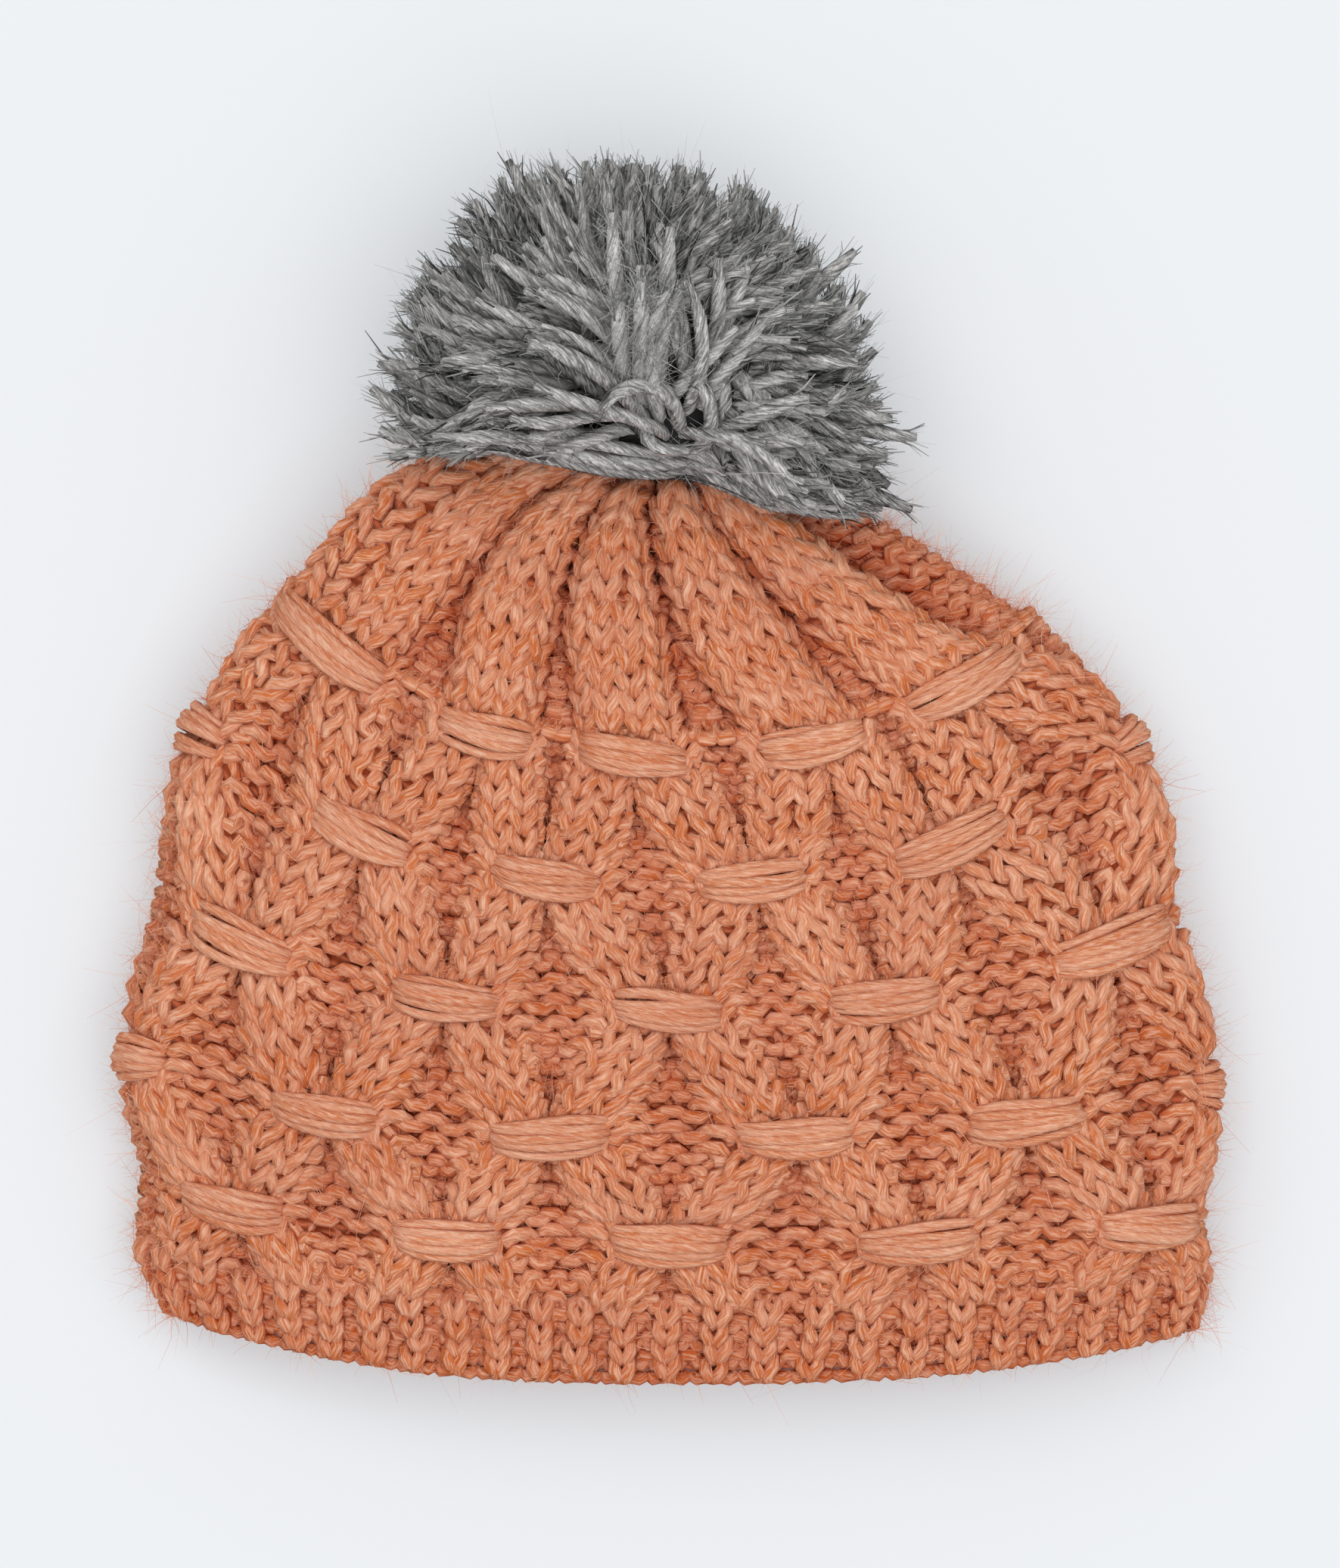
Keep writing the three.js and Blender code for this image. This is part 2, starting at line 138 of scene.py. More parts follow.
HELD_DOWN = 0.8  # share of the relief that a wrap holds down
INSET = 1.6  # how far the yarn's zero height lies inside the face
TONE_STEP = 0.618  # from the tone of one yarn to the next


def smoothstep(x, low, high):
    """0 below low, 1 above high and the cubic 3t^2 - 2t^3 between them."""
    t = np.clip((x - low) / (high - low), 0, 1)
    return t * t * (3 - 2 * t)


def unit(vectors):
    """The same directions at length 1."""
    return vectors / np.linalg.norm(vectors, axis=-1)[..., None]


def through(knots, values, at, level):
    """The cubic through (knots, values) read at the given places, with its neighbours' chords as slopes.

    values has a row for each knot; the slopes at the two ends are 0 if level is true.
    """
    knots = np.asarray(knots, float)
    chord = (values[2:] - values[:-2]) / (knots[2:] - knots[:-2])[:, None]
    first = (values[1] - values[0]) / (knots[1] - knots[0])
    last = (values[-1] - values[-2]) / (knots[-1] - knots[-2])
    ends = 0 if level else 1
    slopes = np.vstack([first * ends, chord, last * ends])
    k = np.clip(np.searchsorted(knots, at, side="right") - 1, 0, len(knots) - 2)
    width = (knots[k + 1] - knots[k])[:, None]
    t = np.clip((at - knots[k])[:, None] / width, 0, 1)
    rise = t * t * (3 - 2 * t)
    bend = slopes[k] * t * (1 - t) ** 2 - slopes[k + 1] * t * t * (1 - t)
    return values[k] * (1 - rise) + values[k + 1] * rise + width * bend


def fold_shift(row):
    """How far round the hat the two folds have moved at a row, in stations."""
    return FOLD_SHIFT * smoothstep(row, *FOLD_SHIFT_ROWS)


def above_hem(row):
    """0 in the ribbing of the hem and 1 above it."""
    return smoothstep(row, HEM_ROWS - 1, HEM_ROWS + 2)


def in_crown_by(row):
    """0 below the crown and 1 in it."""
    return smoothstep(row, CROWN_START - 1, CROWN_START + 1)


def lay(station, row):
    """The face of the hat at a station and a row, in millimetres.

    Seen from above, each row runs between the two folds through the places of its gathered ribs and turns
    up towards the folds as a power of the distance from the middle. Seen along the hat, it is a
    superellipse, fuller in front than at the back.
    """
    station = np.asarray(station, float)
    row = np.broadcast_to(np.asarray(row, float), station.shape)
    first_fold = LEFT_FOLD + fold_shift(row)
    last_fold = RIGHT_FOLD + fold_shift(row)
    over = np.mod(station - first_fold, REPEATS) + first_fold
    back = over > last_fold
    over = np.where(back, 2 * last_fold - over, over)
    rows = SECTIONS[:, 0]
    share = through(rows, np.eye(len(rows)), row, False)
    places = []
    for section, (first, *xs) in zip(SECTIONS, GATHERS):
        left = LEFT_FOLD + fold_shift(section[0])
        right = RIGHT_FOLD + fold_shift(section[0])
        stations = [left, *(first + k for k in range(len(xs))), right]
        values = np.array([section[1], *xs, section[3]])[:, None]
        here = np.where(over < 0, over * left / first_fold, over)
        past = LAST_RIB + (over - LAST_RIB) * (right - LAST_RIB) / (last_fold - LAST_RIB)
        here = np.where(over > LAST_RIB, past, here)
        places.append(through(stations, values, here, True)[:, 0])
    x = (share * np.stack(places, 1)).sum(1)
    left, left_y, right, right_y, mid_y, front, fold, low = (share @ SECTIONS[:, 1:]).T
    middle = (left + right) / 2
    half = (right - left) / 2
    part = np.clip((x - middle) / half, -1, 1)
    side_y = np.where(part < 0, left_y, right_y)
    y = mid_y + (side_y - mid_y) * np.abs(part) ** ROW_SWEEP
    round_front = np.sqrt(1 - np.abs(part) ** FRONT_CURVE)
    round_back = np.sqrt(1 - np.abs(part) ** BACK_CURVE)
    z = fold + np.where(back, (low - fold) * round_back, (front - fold) * round_front)
    return np.stack([middle + part * half, y, z], 1)


def outward(station, row):
    """The outward direction of the face: the cross product of its slopes round the hat and along it."""
    row = np.clip(row, 0.1, CROWN_ROW - 0.1)
    round_the_hat = lay(station + 0.02, row) - lay(station - 0.02, row)
    along = lay(station, row + 0.1) - lay(station, row - 0.1)
    return unit(np.cross(round_the_hat, along))


def raised(station, row, height, clearance=CLEARANCE):
    """A point at a height over the face, less the inset, and never nearer to the floor than the clearance."""
    point = lay(station, row) + outward(station, row) * (height[:, None] - INSET)
    point[:, 2] = np.maximum(point[:, 2], clearance)
    return point


def gather_at(row):
    """1 where pairs of ribs are drawn to whole stations, -1 where they are drawn to the half ones."""
    rows = np.array([HEM_ROWS - 1, *WRAP_ROWS])
    pull = np.array([0, *WRAP_GATHERS])
    k = np.clip(np.searchsorted(rows, row, side="right") - 1, 0, len(rows) - 2)
    t = np.clip((row - rows[k]) / (rows[k + 1] - rows[k]), 0, 1)
    ease = (1 - np.cos(np.pi * t)) / 2
    return pull[k] * (1 - ease) + pull[k + 1] * ease


def station_width(row):
    """The width of a station in front at a row, in millimetres."""
    return np.interp(row, STATION_WIDTHS[:, 0], STATION_WIDTHS[:, 1])


def rib_half(row):
    """Half the width of a rib in stations: two stitches, and more where it leans, until the ribs meet."""
    lean = (1 - gather_at(row) ** 2) * above_hem(row)
    return np.minimum(KNIT_STITCH / station_width(row) * (1 + LEAN_SPREAD * lean), FULL_RIB)


def rib_middle(k, row):
    """The middle of rib k in stations."""
    to_right = np.where(k % 2 == 0, 1, -1)
    return (k + 0.5) / 2 - to_right * (0.25 - PAIR_GAP - rib_half(row)) * gather_at(row)


def panel_sink(opened):
    """How far a panel sinks: deeper the narrower it has been drawn."""
    return PANEL_SINK + (PLEAT_SINK - PANEL_SINK) * (1 - opened) ** 2


def knit_place(q, row):
    """Station, relief and openness of the knit at stitch coordinate q and a row.

    The rib is a low arch and the panel a trough.
    """
    k = np.floor(q / PATTERN).astype(int)
    t = q - PATTERN * k
    half = rib_half(row)
    here = rib_middle(k, row)
    gap = np.maximum(rib_middle(k + 1, row) - here - 2 * half, 0)
    in_rib = t < RIB_STITCHES
    w = (t - RIB_STITCHES) / PANEL_STITCHES
    station = np.where(in_rib, here - half + t * half, here + half + w * gap)
    even = (q + FIRST_STITCH) / PER_STATION
    station = even + (station - even) * above_hem(row)
    opened = np.clip(gap * station_width(row) / OPEN_PANEL, 0, 1)
    rib = RIB_RISE * (0.5 + 0.5 * np.sin(np.pi * t / RIB_STITCHES))
    trough = smoothstep(w, 0, PANEL_SIDE) * smoothstep(1 - w, 0, PANEL_SIDE)
    panel = RIB_RISE * 0.5 * (1 - trough) - panel_sink(opened) * trough
    relief = np.where(in_rib, rib, panel) * above_hem(row)
    return station, relief + (crown_relief(station, row) - relief) * in_crown_by(row), opened


def crown_half(n, beyond, row):
    """Half the width of gathered rib n of the crown, in stations, on the side that beyond is the sign of.

    At the right fold the panel stays wide, from the last rib in front to the first one at the back.
    """
    half = 2 * rib_half(row) + PAIR_GAP
    place = np.mod(n, REPEATS)
    at_fold = (place == LAST_RIB) & (beyond > 0) | (place == LAST_RIB + 1) & (beyond < 0)
    more = FOLD_RIB_MORE * (1 - smoothstep(row, CROWN_START - 1, RIGHT_FOLD_ROW))
    return np.where(at_fold, np.minimum(half, FOLD_RIB + more), half)


def crown_relief(station, row):
    """The relief of the crown: ribs with flat tops and steep sides, with deep folds between them."""
    n = np.round(station)
    half = crown_half(n, station - n, row)
    apart = np.abs(station - n)
    r = np.minimum(apart / half, 1)
    opened = np.clip((1 - 2 * half) * station_width(row) / OPEN_FOLD, 0, 1)
    w = smoothstep((apart - half) / np.maximum(0.5 - half, 0.01), 0, FOLD_SIDE)
    top = RIB_RISE + CROWN_SWELL
    relief = top - CROWN_DIP * r**4 * (1 - w) - (top + panel_sink(opened)) * w
    return relief * (1 - CROWN_FLAT * smoothstep(row, CROWN_ROW - 2, CROWN_ROW))


def crown_place(b, row):
    """Station, relief and openness of the crown at stitch coordinate b and a row.

    From each whole even number, b runs over a rib in one and over the panel to its right in another.
    """
    n = np.floor(b / 2)
    f = b - 2 * n
    left = n - crown_half(n, -1, row)
    right = n + crown_half(n, 1, row)
    following = n + 1 - crown_half(n + 1, -1, row)
    station = np.where(f < 1, left + (right - left) * f, right + (following - right) * (f - 1))
    opened = np.clip((following - right) * station_width(row) / OPEN_PANEL, 0, 1)
    share = in_crown_by(row)
    relief = crown_relief(station, row) * share + RIB_RISE * 0.8 * (1 - share)
    return station, relief, opened


def pinch(station, row):
    """How tightly a wrap holds the ribs down at a place: 1 under the middle of a wrap, 0 away from it."""
    hold = np.zeros_like(station)
    for wrap_row, gathers, half in zip(WRAP_ROWS, WRAP_GATHERS, WRAP_HALVES):
        shift = 0 if gathers > 0 else 0.5
        across = np.abs(station - shift - np.round(station - shift)) * station_width(wrap_row) / half
        along = np.abs(row - wrap_row)
        here = (1 - smoothstep(across, *HOLD_ACROSS)) * (1 - smoothstep(along, *HOLD_ALONG))
        hold = np.maximum(hold, here)
    return hold


def tubes(paths, ups, radii, sides, u_from):
    """Closed round tubes along many paths at once, each given as (paths, points, 3).

    Every ring is the circle of its radius across the path, starting from the side that faces up. Returns
    vertices, quads, end caps and the texture coordinates of both: u along the yarn in millimetres, from
    u_from on, and v once round it.
    """
    count, points, _ = paths.shape
    tangent = unit(np.gradient(paths, axis=1))
    side = unit(np.cross(tangent, ups))
    face = np.cross(side, tangent)
    angle = TURN * np.arange(sides) / sides
    ring = face[:, :, None] * np.cos(angle)[:, None] - side[:, :, None] * np.sin(angle)[:, None]
    vertices = (paths[:, :, None] + ring * radii[:, :, None, None]).reshape(-1, 3)
    step = np.linalg.norm(np.diff(paths, axis=1), axis=2)
    length = np.concatenate([np.zeros((count, 1)), np.cumsum(step, axis=1)], axis=1) + u_from[:, None]
    first = (np.arange(count) * points * sides)[:, None, None]
    ring_from = first + np.arange(points - 1)[None, :, None] * sides
    ring_to = ring_from + sides
    k = np.arange(sides)[None, None, :]
    after = (k + 1) % sides
    quads = np.stack([ring_from + after, ring_from + k, ring_to + k, ring_to + after], -1).reshape(-1, 4)
    along = length[:, :-1, None], length[:, 1:, None]
    u0, u1, v0, v1 = np.broadcast_arrays(*along, k / sides, (k + 1) / sides)
    quad_uv = np.stack([u0, v1, u0, v0, u1, v0, u1, v1], -1).reshape(-1, 4, 2)
    around = np.arange(sides)
    starts = first[:, 0] + around[None, :]
    ends = first[:, 0] + (points - 1) * sides + around[None, ::-1]
    caps = np.concatenate([starts, ends])
    cap_u = np.concatenate([length[:, 0], length[:, -1]])[:, None].repeat(sides, 1)
    cap_uv = np.stack([cap_u, np.broadcast_to(around / sides, cap_u.shape)], -1)
    return vertices, quads, caps, quad_uv, cap_uv


def make_piece(name, vertices, polygons, uvs, finish, values=None):
    """A mesh object from arrays in millimetres.

    polygons and uvs are lists of arrays, one for each number of corners, and values are numbers for each
    vertex that the finish reads.
    """
    mesh = bpy.data.meshes.new(name)
    vertices = np.asarray(vertices, dtype=np.float32) * MM
    mesh.vertices.add(len(vertices))
    mesh.vertices.foreach_set("co", vertices.ravel())
    corners = np.concatenate([p.ravel() for p in polygons]).astype(np.int32)
    sizes = np.concatenate([np.full(len(p), p.shape[1]) for p in polygons])
    starts = np.concatenate([[0], np.cumsum(sizes)[:-1]]).astype(np.int32)
    mesh.loops.add(len(corners))
    mesh.loops.foreach_set("vertex_index", corners)
    mesh.polygons.add(len(sizes))
    mesh.polygons.foreach_set("loop_start", starts)
    mesh.update(calc_edges=True)
    if uvs is not None:
        flat = np.concatenate([uv.reshape(-1, 2) for uv in uvs]).astype(np.float32)
        mesh.uv_layers.new(name="yarn").data.foreach_set("uv", flat.ravel())
    for key, value in (values or {}).items():
        attribute = mesh.attributes.new(key, "FLOAT", "POINT")
        attribute.data.foreach_set("value", np.asarray(value, dtype=np.float32))
    mesh.polygons.foreach_set("use_smooth", np.full(len(sizes), True))
    mesh.materials.append(finish)
    mesh.validate()
    piece = bpy.data.objects.new(name, mesh)
    bpy.context.scene.collection.objects.link(piece)
    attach(piece, "root")
    return piece


def yarn_piece(name, paths, ups, radii, sides, apart, point_shades, tones, finish):
    """Many yarns as one piece, given the painted shade of each point and the tone of each yarn."""
    count, points, _ = paths.shape
    vertices, quads, caps, uv, cap_uv = tubes(paths, ups, radii, sides, np.arange(count) * apart)
    # the painted shade is stored as the "height" attribute
    values = {"height": np.repeat(point_shades.ravel(), sides), "tone": np.repeat(tones, points * sides)}
    return make_piece(name, vertices, [quads, caps], [uv, cap_uv], finish, values)


# Stitches

chance = np.random.default_rng(7)
WANDER = chance.normal(0, 1, (CROWN_ROW + 2, STITCHES, 3))


def stitch_row(n, row):
    """Where the stitches of repeat n start and stop at a row, and 1 for each knit one or -1 for each purl.

    Above the last wraps the purls inside a gathered pair are gone. The panels between the pairs go from
    three purls to one and then to none, while the ribs go from four stitches to three and then to two; near
    the folds, where the cloth is wide, more of both are left.
    """
    if row < CROWN_START:
        start = np.arange(float(PER_STATION))
        knit = start % 2 == 0 if row < HEM_ROWS else start % PATTERN < RIB_STITCHES
        return start + PER_STATION * n, start + PER_STATION * n + 1, knit * 2.0 - 1
    knits, purls = next(counts for first, *counts in reversed(CROWN_COUNTS) if row >= first)
    place = n % REPEATS
    if place in (0, REPEATS - 1):
        knits += 1 if row < LEFT_FOLD_ROW else 2
    if place in (LAST_RIB, LAST_RIB + 1):
        knits = 4 if row < RIGHT_FOLD_ROW else 3
    if place == LAST_RIB:
        purls = 5 if row < RIGHT_PANEL_ROW else 4
    start = np.concatenate([np.arange(knits) / knits, 1 + np.arange(purls) / max(purls, 1)])
    width = np.repeat([1 / knits, 1 / max(purls, 1)], [knits, purls])
    return start + 2 * n, start + 2 * n + width, np.repeat([1.0, -1.0], [knits, purls])


def row_path(row, first, last, samples):
    """The yarn of one row of stitches between two stations, as points, ups, radii and shades.

    With a the angle along the row, one turn to a stitch, the yarn runs at a + swing sin 2a across, at
    -rise cos a along the rows and at -depth cos 2a through the cloth, the other way in a purl stitch. It is
    fuller in the legs of a knit stitch and in the bump of a purl one, and each stitch wanders a little. The
    shade is a painted shade: the height, a little lighter in a purl stitch and darker in the hem.
    """
    in_crown = row >= CROWN_START
    repeats = [stitch_row(n, row) for n in range(-1, REPEATS + 1)]
    start, stop, side = (np.concatenate(part) for part in zip(*repeats))
    even = (start + FIRST_STITCH) / PER_STATION
    begins = crown_place(start, np.full(len(start), row))[0] if in_crown else even
    inside = (begins > first) & (begins < last)
    start, width, side = start[inside], (stop - start)[inside], side[inside]
    part = (np.arange(samples) + 0.5) / samples
    at = np.tile(part, len(start))
    angle = TURN * at
    knit = np.repeat(side, samples)
    before = np.repeat(np.roll(side, 1), samples)
    after = np.repeat(np.roll(side, -1), samples)
    to_next = smoothstep(at, 0.8, 1) / 2
    from_last = smoothstep(1 - at, 0.8, 1) / 2
    knit = knit + (after - knit) * to_next + (before - knit) * from_last
    centre = np.repeat(np.arange(len(start)), samples) + at
    low = np.floor(centre - 0.5).astype(int)
    mix = smoothstep(centre - 0.5 - low, 0, 1)[:, None]
    wander = WANDER[row, low % STITCHES] * (1 - mix) + WANDER[row, (low + 1) % STITCHES] * mix
    loose = 0.14 if row < HEM_ROWS else 0.08
    across = at + STITCH_SWING * np.sin(2 * angle) / TURN + loose * wander[:, 0]
    q = np.repeat(start, samples) + np.repeat(width, samples) * across
    v = row + 0.5 - STITCH_RISE * np.cos(angle) + 0.1 * wander[:, 1]
    v = np.clip(v, 0, CROWN_ROW)
    station, relief, opened = (crown_place if in_crown else knit_place)(q, v)
    held = pinch(station, v)
    in_hem = 1 - smoothstep(v, HEM_ROWS - 1, HEM_ROWS + 1)
    relief = relief * (1 - HELD_DOWN * held) + 0.9 * in_hem * knit
    depth = STITCH_DEPTH * (0.6 + 0.4 * np.maximum(opened, knit > 0))
    height = relief - knit * depth * np.cos(2 * angle) + 0.3 * wander[:, 2]
    legs = 0.5 - 0.5 * np.cos(2 * angle)
    radii = YARN * (0.86 + 0.24 * legs * (knit > 0) + 0.3 * (1 - legs) * (knit < 0) + 0.04 * wander[:, 1])
    radii = radii * (1 + 0.08 * in_crown)
    # painted shade: the height, lifted in a purl stitch and darkened in the hem
    shade = height + 0.8 * (knit < 0) - 2.3 * in_hem
    return raised(station, v, height), outward(station, v), radii, shade


def stitches(name, rows, first, last, samples, sides):
    """One piece of knitting: the yarns of its rows as closed tubes."""
    parts = []
    offset = 0
    for row in rows:
        # the last value is the painted shade of each point, which the finish reads as its "height"
        *path, height = row_path(row, first, last, samples)
        path = [part[None] for part in path]
        vertices, quads, caps, *uvs = tubes(*path, sides, np.array([row * 137.0]))
        tone = np.full(len(vertices), (row * TONE_STEP) % 1)
        parts.append((vertices, quads + offset, caps + offset, *uvs, np.repeat(height, sides), tone))
        offset += len(vertices)
    vertices, quads, caps, uv, cap_uv, height, tone = (np.concatenate(part) for part in zip(*parts))
    values = {"height": height, "tone": tone}
    return make_piece(name, vertices, [quads, caps], [uv, cap_uv], hat_yarn, values)


# Wraps

WRAP_STRANDS = 5
WRAP_YARN = 1.14  # radius
WRAP_POINTS = 13
WRAP_SIDES = 6
WRAP_SPREAD = 0.74  # half of a bundle's height, in rows
WRAP_TOP = 4.1  # height of a strand's shoulders
WRAP_FOOT = -2.2  # and of its roots in the cloth
WRAP_SHADE = 2.6  # how much darker the wraps' painted shade is than their height says
WRAP_TONE = 0.4  # and how much paler their yarn is


def wraps(name):
    """The bundles of strands round each gathered pair of ribs.

    Each strand is a flattened arch across the pair whose ends dive into the cloth. The strands lie side by
    side, draw together at the ends and sag a little towards the hem.
    """
    p = np.linspace(-1, 1, WRAP_POINTS)
    spread = np.linspace(-1, 1, WRAP_STRANDS)
    strands = []
    for wrap_row, gathers, half in zip(WRAP_ROWS, WRAP_GATHERS, WRAP_HALVES):
        centres = np.arange(REPEATS) + (0 if gathers > 0 else 0.5)
        c = centres[:, None, None]
        jitter = chance.normal(0, 1, (REPEATS, WRAP_STRANDS, 4))[..., None]
        tilt = chance.normal(0, 0.12, (REPEATS, 1, 1))
        s = spread[None, :, None]
        across = c + half / station_width(wrap_row) * (1 + 0.03 * jitter[:, :, 0]) * p
        bulge = 1 - p**2
        along = WRAP_SPREAD * s * (0.62 + 0.38 * bulge) + 0.04 * jitter[:, :, 1] + 0.05 * jitter[:, :, 2] * p
        along = wrap_row + along - 0.1 * bulge + tilt * p + 0.05 * jitter[:, :, 0] * np.sin(3 * p)
        arch = (1 - np.abs(p) ** 6) ** 0.5
        top = WRAP_TOP + bulge - s**2 + 0.22 * jitter[:, :, 3]
        radii = WRAP_YARN * (0.8 + 0.3 * bulge) * (1 + 0.06 * jitter[:, :, 1])
        strands.append((across, along, WRAP_FOOT + (top - WRAP_FOOT) * arch, radii))
    station, row, height, radii = (np.concatenate(part).ravel() for part in zip(*strands))
    points = raised(station, row, height).reshape(-1, WRAP_POINTS, 3)
    ups = outward(station, row).reshape(points.shape)
    radii = radii.reshape(-1, WRAP_POINTS)
    tones = np.mod(np.arange(len(points)) * TONE_STEP, 1) + WRAP_TONE
    # painted shade: the height, darkened
    shades = height - WRAP_SHADE
    return yarn_piece(name, points, ups, radii, WRAP_SIDES, 31.0, shades, tones, hat_yarn)


# Inner side

SKIN_BEHIND = 0.2  # how far the skin lies behind the yarn's zero height
SKIN_CLEARANCE = 0.6  # from the floor to the skin
INNER_DEPTH = 6.5  # from the hat's face to the inner side of the cloth
CROWN_HOLE = 0.05  # what is left of the last ring where the crown is drawn shut
SEAM_DEPTH = 6  # how far the crown is turned in there


def backing(name):
    """The inside of the cloth as a closed skin.

    It runs just behind the yarn from the hem to the crown, where it is drawn together and turned in, and
    back at an even depth.
    """
    around = REPEATS * 30
    q = np.arange(around) / 30.0 * PER_STATION - FIRST_STITCH
    last_row = 40
    outer_rows = np.concatenate([np.linspace(0.1, last_row, 72), [41, 42, 42.8]])
    inner_rows = np.linspace(last_row, 0.2, 24)
    rings = []
    for row in outer_rows:
        rows = np.full(around, row)
        station, relief, _ = knit_place(q, rows)
        height = relief * (1 - HELD_DOWN * pinch(station, rows)) - SKIN_BEHIND
        rings.append(raised(station, rows, height, SKIN_CLEARANCE))
    centre = rings[-1].mean(0)
    rings.append(centre + (rings[-1] - centre) * CROWN_HOLE)
    rings.append(centre + (rings[-2] - centre) * CROWN_HOLE - np.array([0, SEAM_DEPTH, 0]))
    for row in inner_rows:
        rows = np.full(around, row)
        station, _, _ = knit_place(q, rows)
        rings.append(lay(station, rows) - outward(station, rows) * INNER_DEPTH)
    rings = np.stack(rings)
    count = len(rings)
    here = np.arange(count)[:, None] * around
    after = np.roll(here, -1, axis=0)
    k = np.arange(around)[None, :]
    beside = (k + 1) % around
    quads = np.stack([here + k, here + beside, after + beside, after + k], -1).reshape(-1, 4)
    seam = CROWN_ROW + 0.5
    v = np.concatenate([outer_rows, [CROWN_ROW, seam], seam + last_row - inner_rows, [seam + last_row + 0.5]])
    u = np.arange(around + 1) / around * STITCHES
    uv = np.stack(np.broadcast_arrays(u[:-1][None], v[:-1, None], u[1:][None], v[1:, None]), -1)
    uv = uv[..., [0, 1, 2, 1, 2, 3, 0, 3]].reshape(-1, 4, 2)
    return make_piece(name, rings.reshape(-1, 3), [quads], [uv], hat_lining)


# Pompom

POMPOM_ROOT = np.array([0, 66.0, 39.0])
POMPOM_STRANDS = 960
COLLAR_LEFT = 34  # strands that lie low along the crown, to the left and to the right
COLLAR_RIGHT = 44
POMPOM_LOCKS = 170
POMPOM_YARN = 1.6
STRAND_POINTS = 14
STRAND_SIDES = 5
# way round from the hat's right, in degrees, and the length of the strands that lie there
STRAND_LENGTHS = np.array([
    (-30, 49), (-18, 47), (-8, 42), (20, 41), (35, 46), (60, 48), (75, 53),
    (90, 55), (110, 59.5), (140, 58), (170, 57), (185, 53), (200, 55),
])
# x, and the y of the crown's upper outline there, which the strands lie on
CROWN_OUTLINE = np.array([
    (-80, 50), (-55, 61), (-35, 65), (-12, 60), (6, 59), (20, 53), (45, 51), (70, 40),
])
CROWN_TOP = 43.5  # height of the crown where the strands lie on it
PARTING = 112  # the way that the strands in front are parted along, in degrees
LOWEST_FRONT = -4  # strands that rise less than this, in degrees, are the back ones
HIGHEST = 94  # no strand rises over this


def waves(place, seed, scale):
    """A smooth random vector field: the sum of a dozen sine waves in random directions."""
    draw = np.random.default_rng(seed)
    turns = draw.normal(0, 1 / scale, (12, 3))
    phase = draw.uniform(0, TURN, (12, 3))
    swing = draw.normal(0, 0.4, (12, 3))
    return (np.sin((place @ turns.T)[..., None] + phase) * swing).sum(-2)


def fan(count, seed, lowest, highest):
    """Directions spread evenly over the pompom: degrees round the root and degrees of rise.

    Strands that rise go further round than those that would meet the hat.
    """
    draw = np.random.default_rng(seed)
    k = np.arange(count) + 0.5
    low, high = np.sin(np.radians([lowest, highest]))
    rise = np.degrees(np.arcsin(low + (high - low) * k / count))
    share = np.mod(k * 0.6180340, 1)
    beside_the_hat = rise < 4
    start = np.where(beside_the_hat, 4, -24)
    stop = np.where(beside_the_hat, 176, 190)
    way = start + (stop - start) * share + draw.normal(0, 1.5, count)
    return way, rise + draw.normal(0, 2, count)


def bend_along(way, rise, bend, length, first):
    """Points of strands whose heading is given in degrees at every step: the sum of their steps."""
    way, rise = np.radians(way + bend), np.radians(rise)
    step = np.stack([np.cos(rise) * np.cos(way), np.cos(rise) * np.sin(way), np.sin(rise)], -1)
    step = step * (length / (STRAND_POINTS - 1))[:, None, None]
    step = np.concatenate([np.zeros_like(step[:, :1]), (step[:, 1:] + step[:, :-1]) / 2], axis=1)
    return first[:, None] + np.cumsum(step, axis=1)


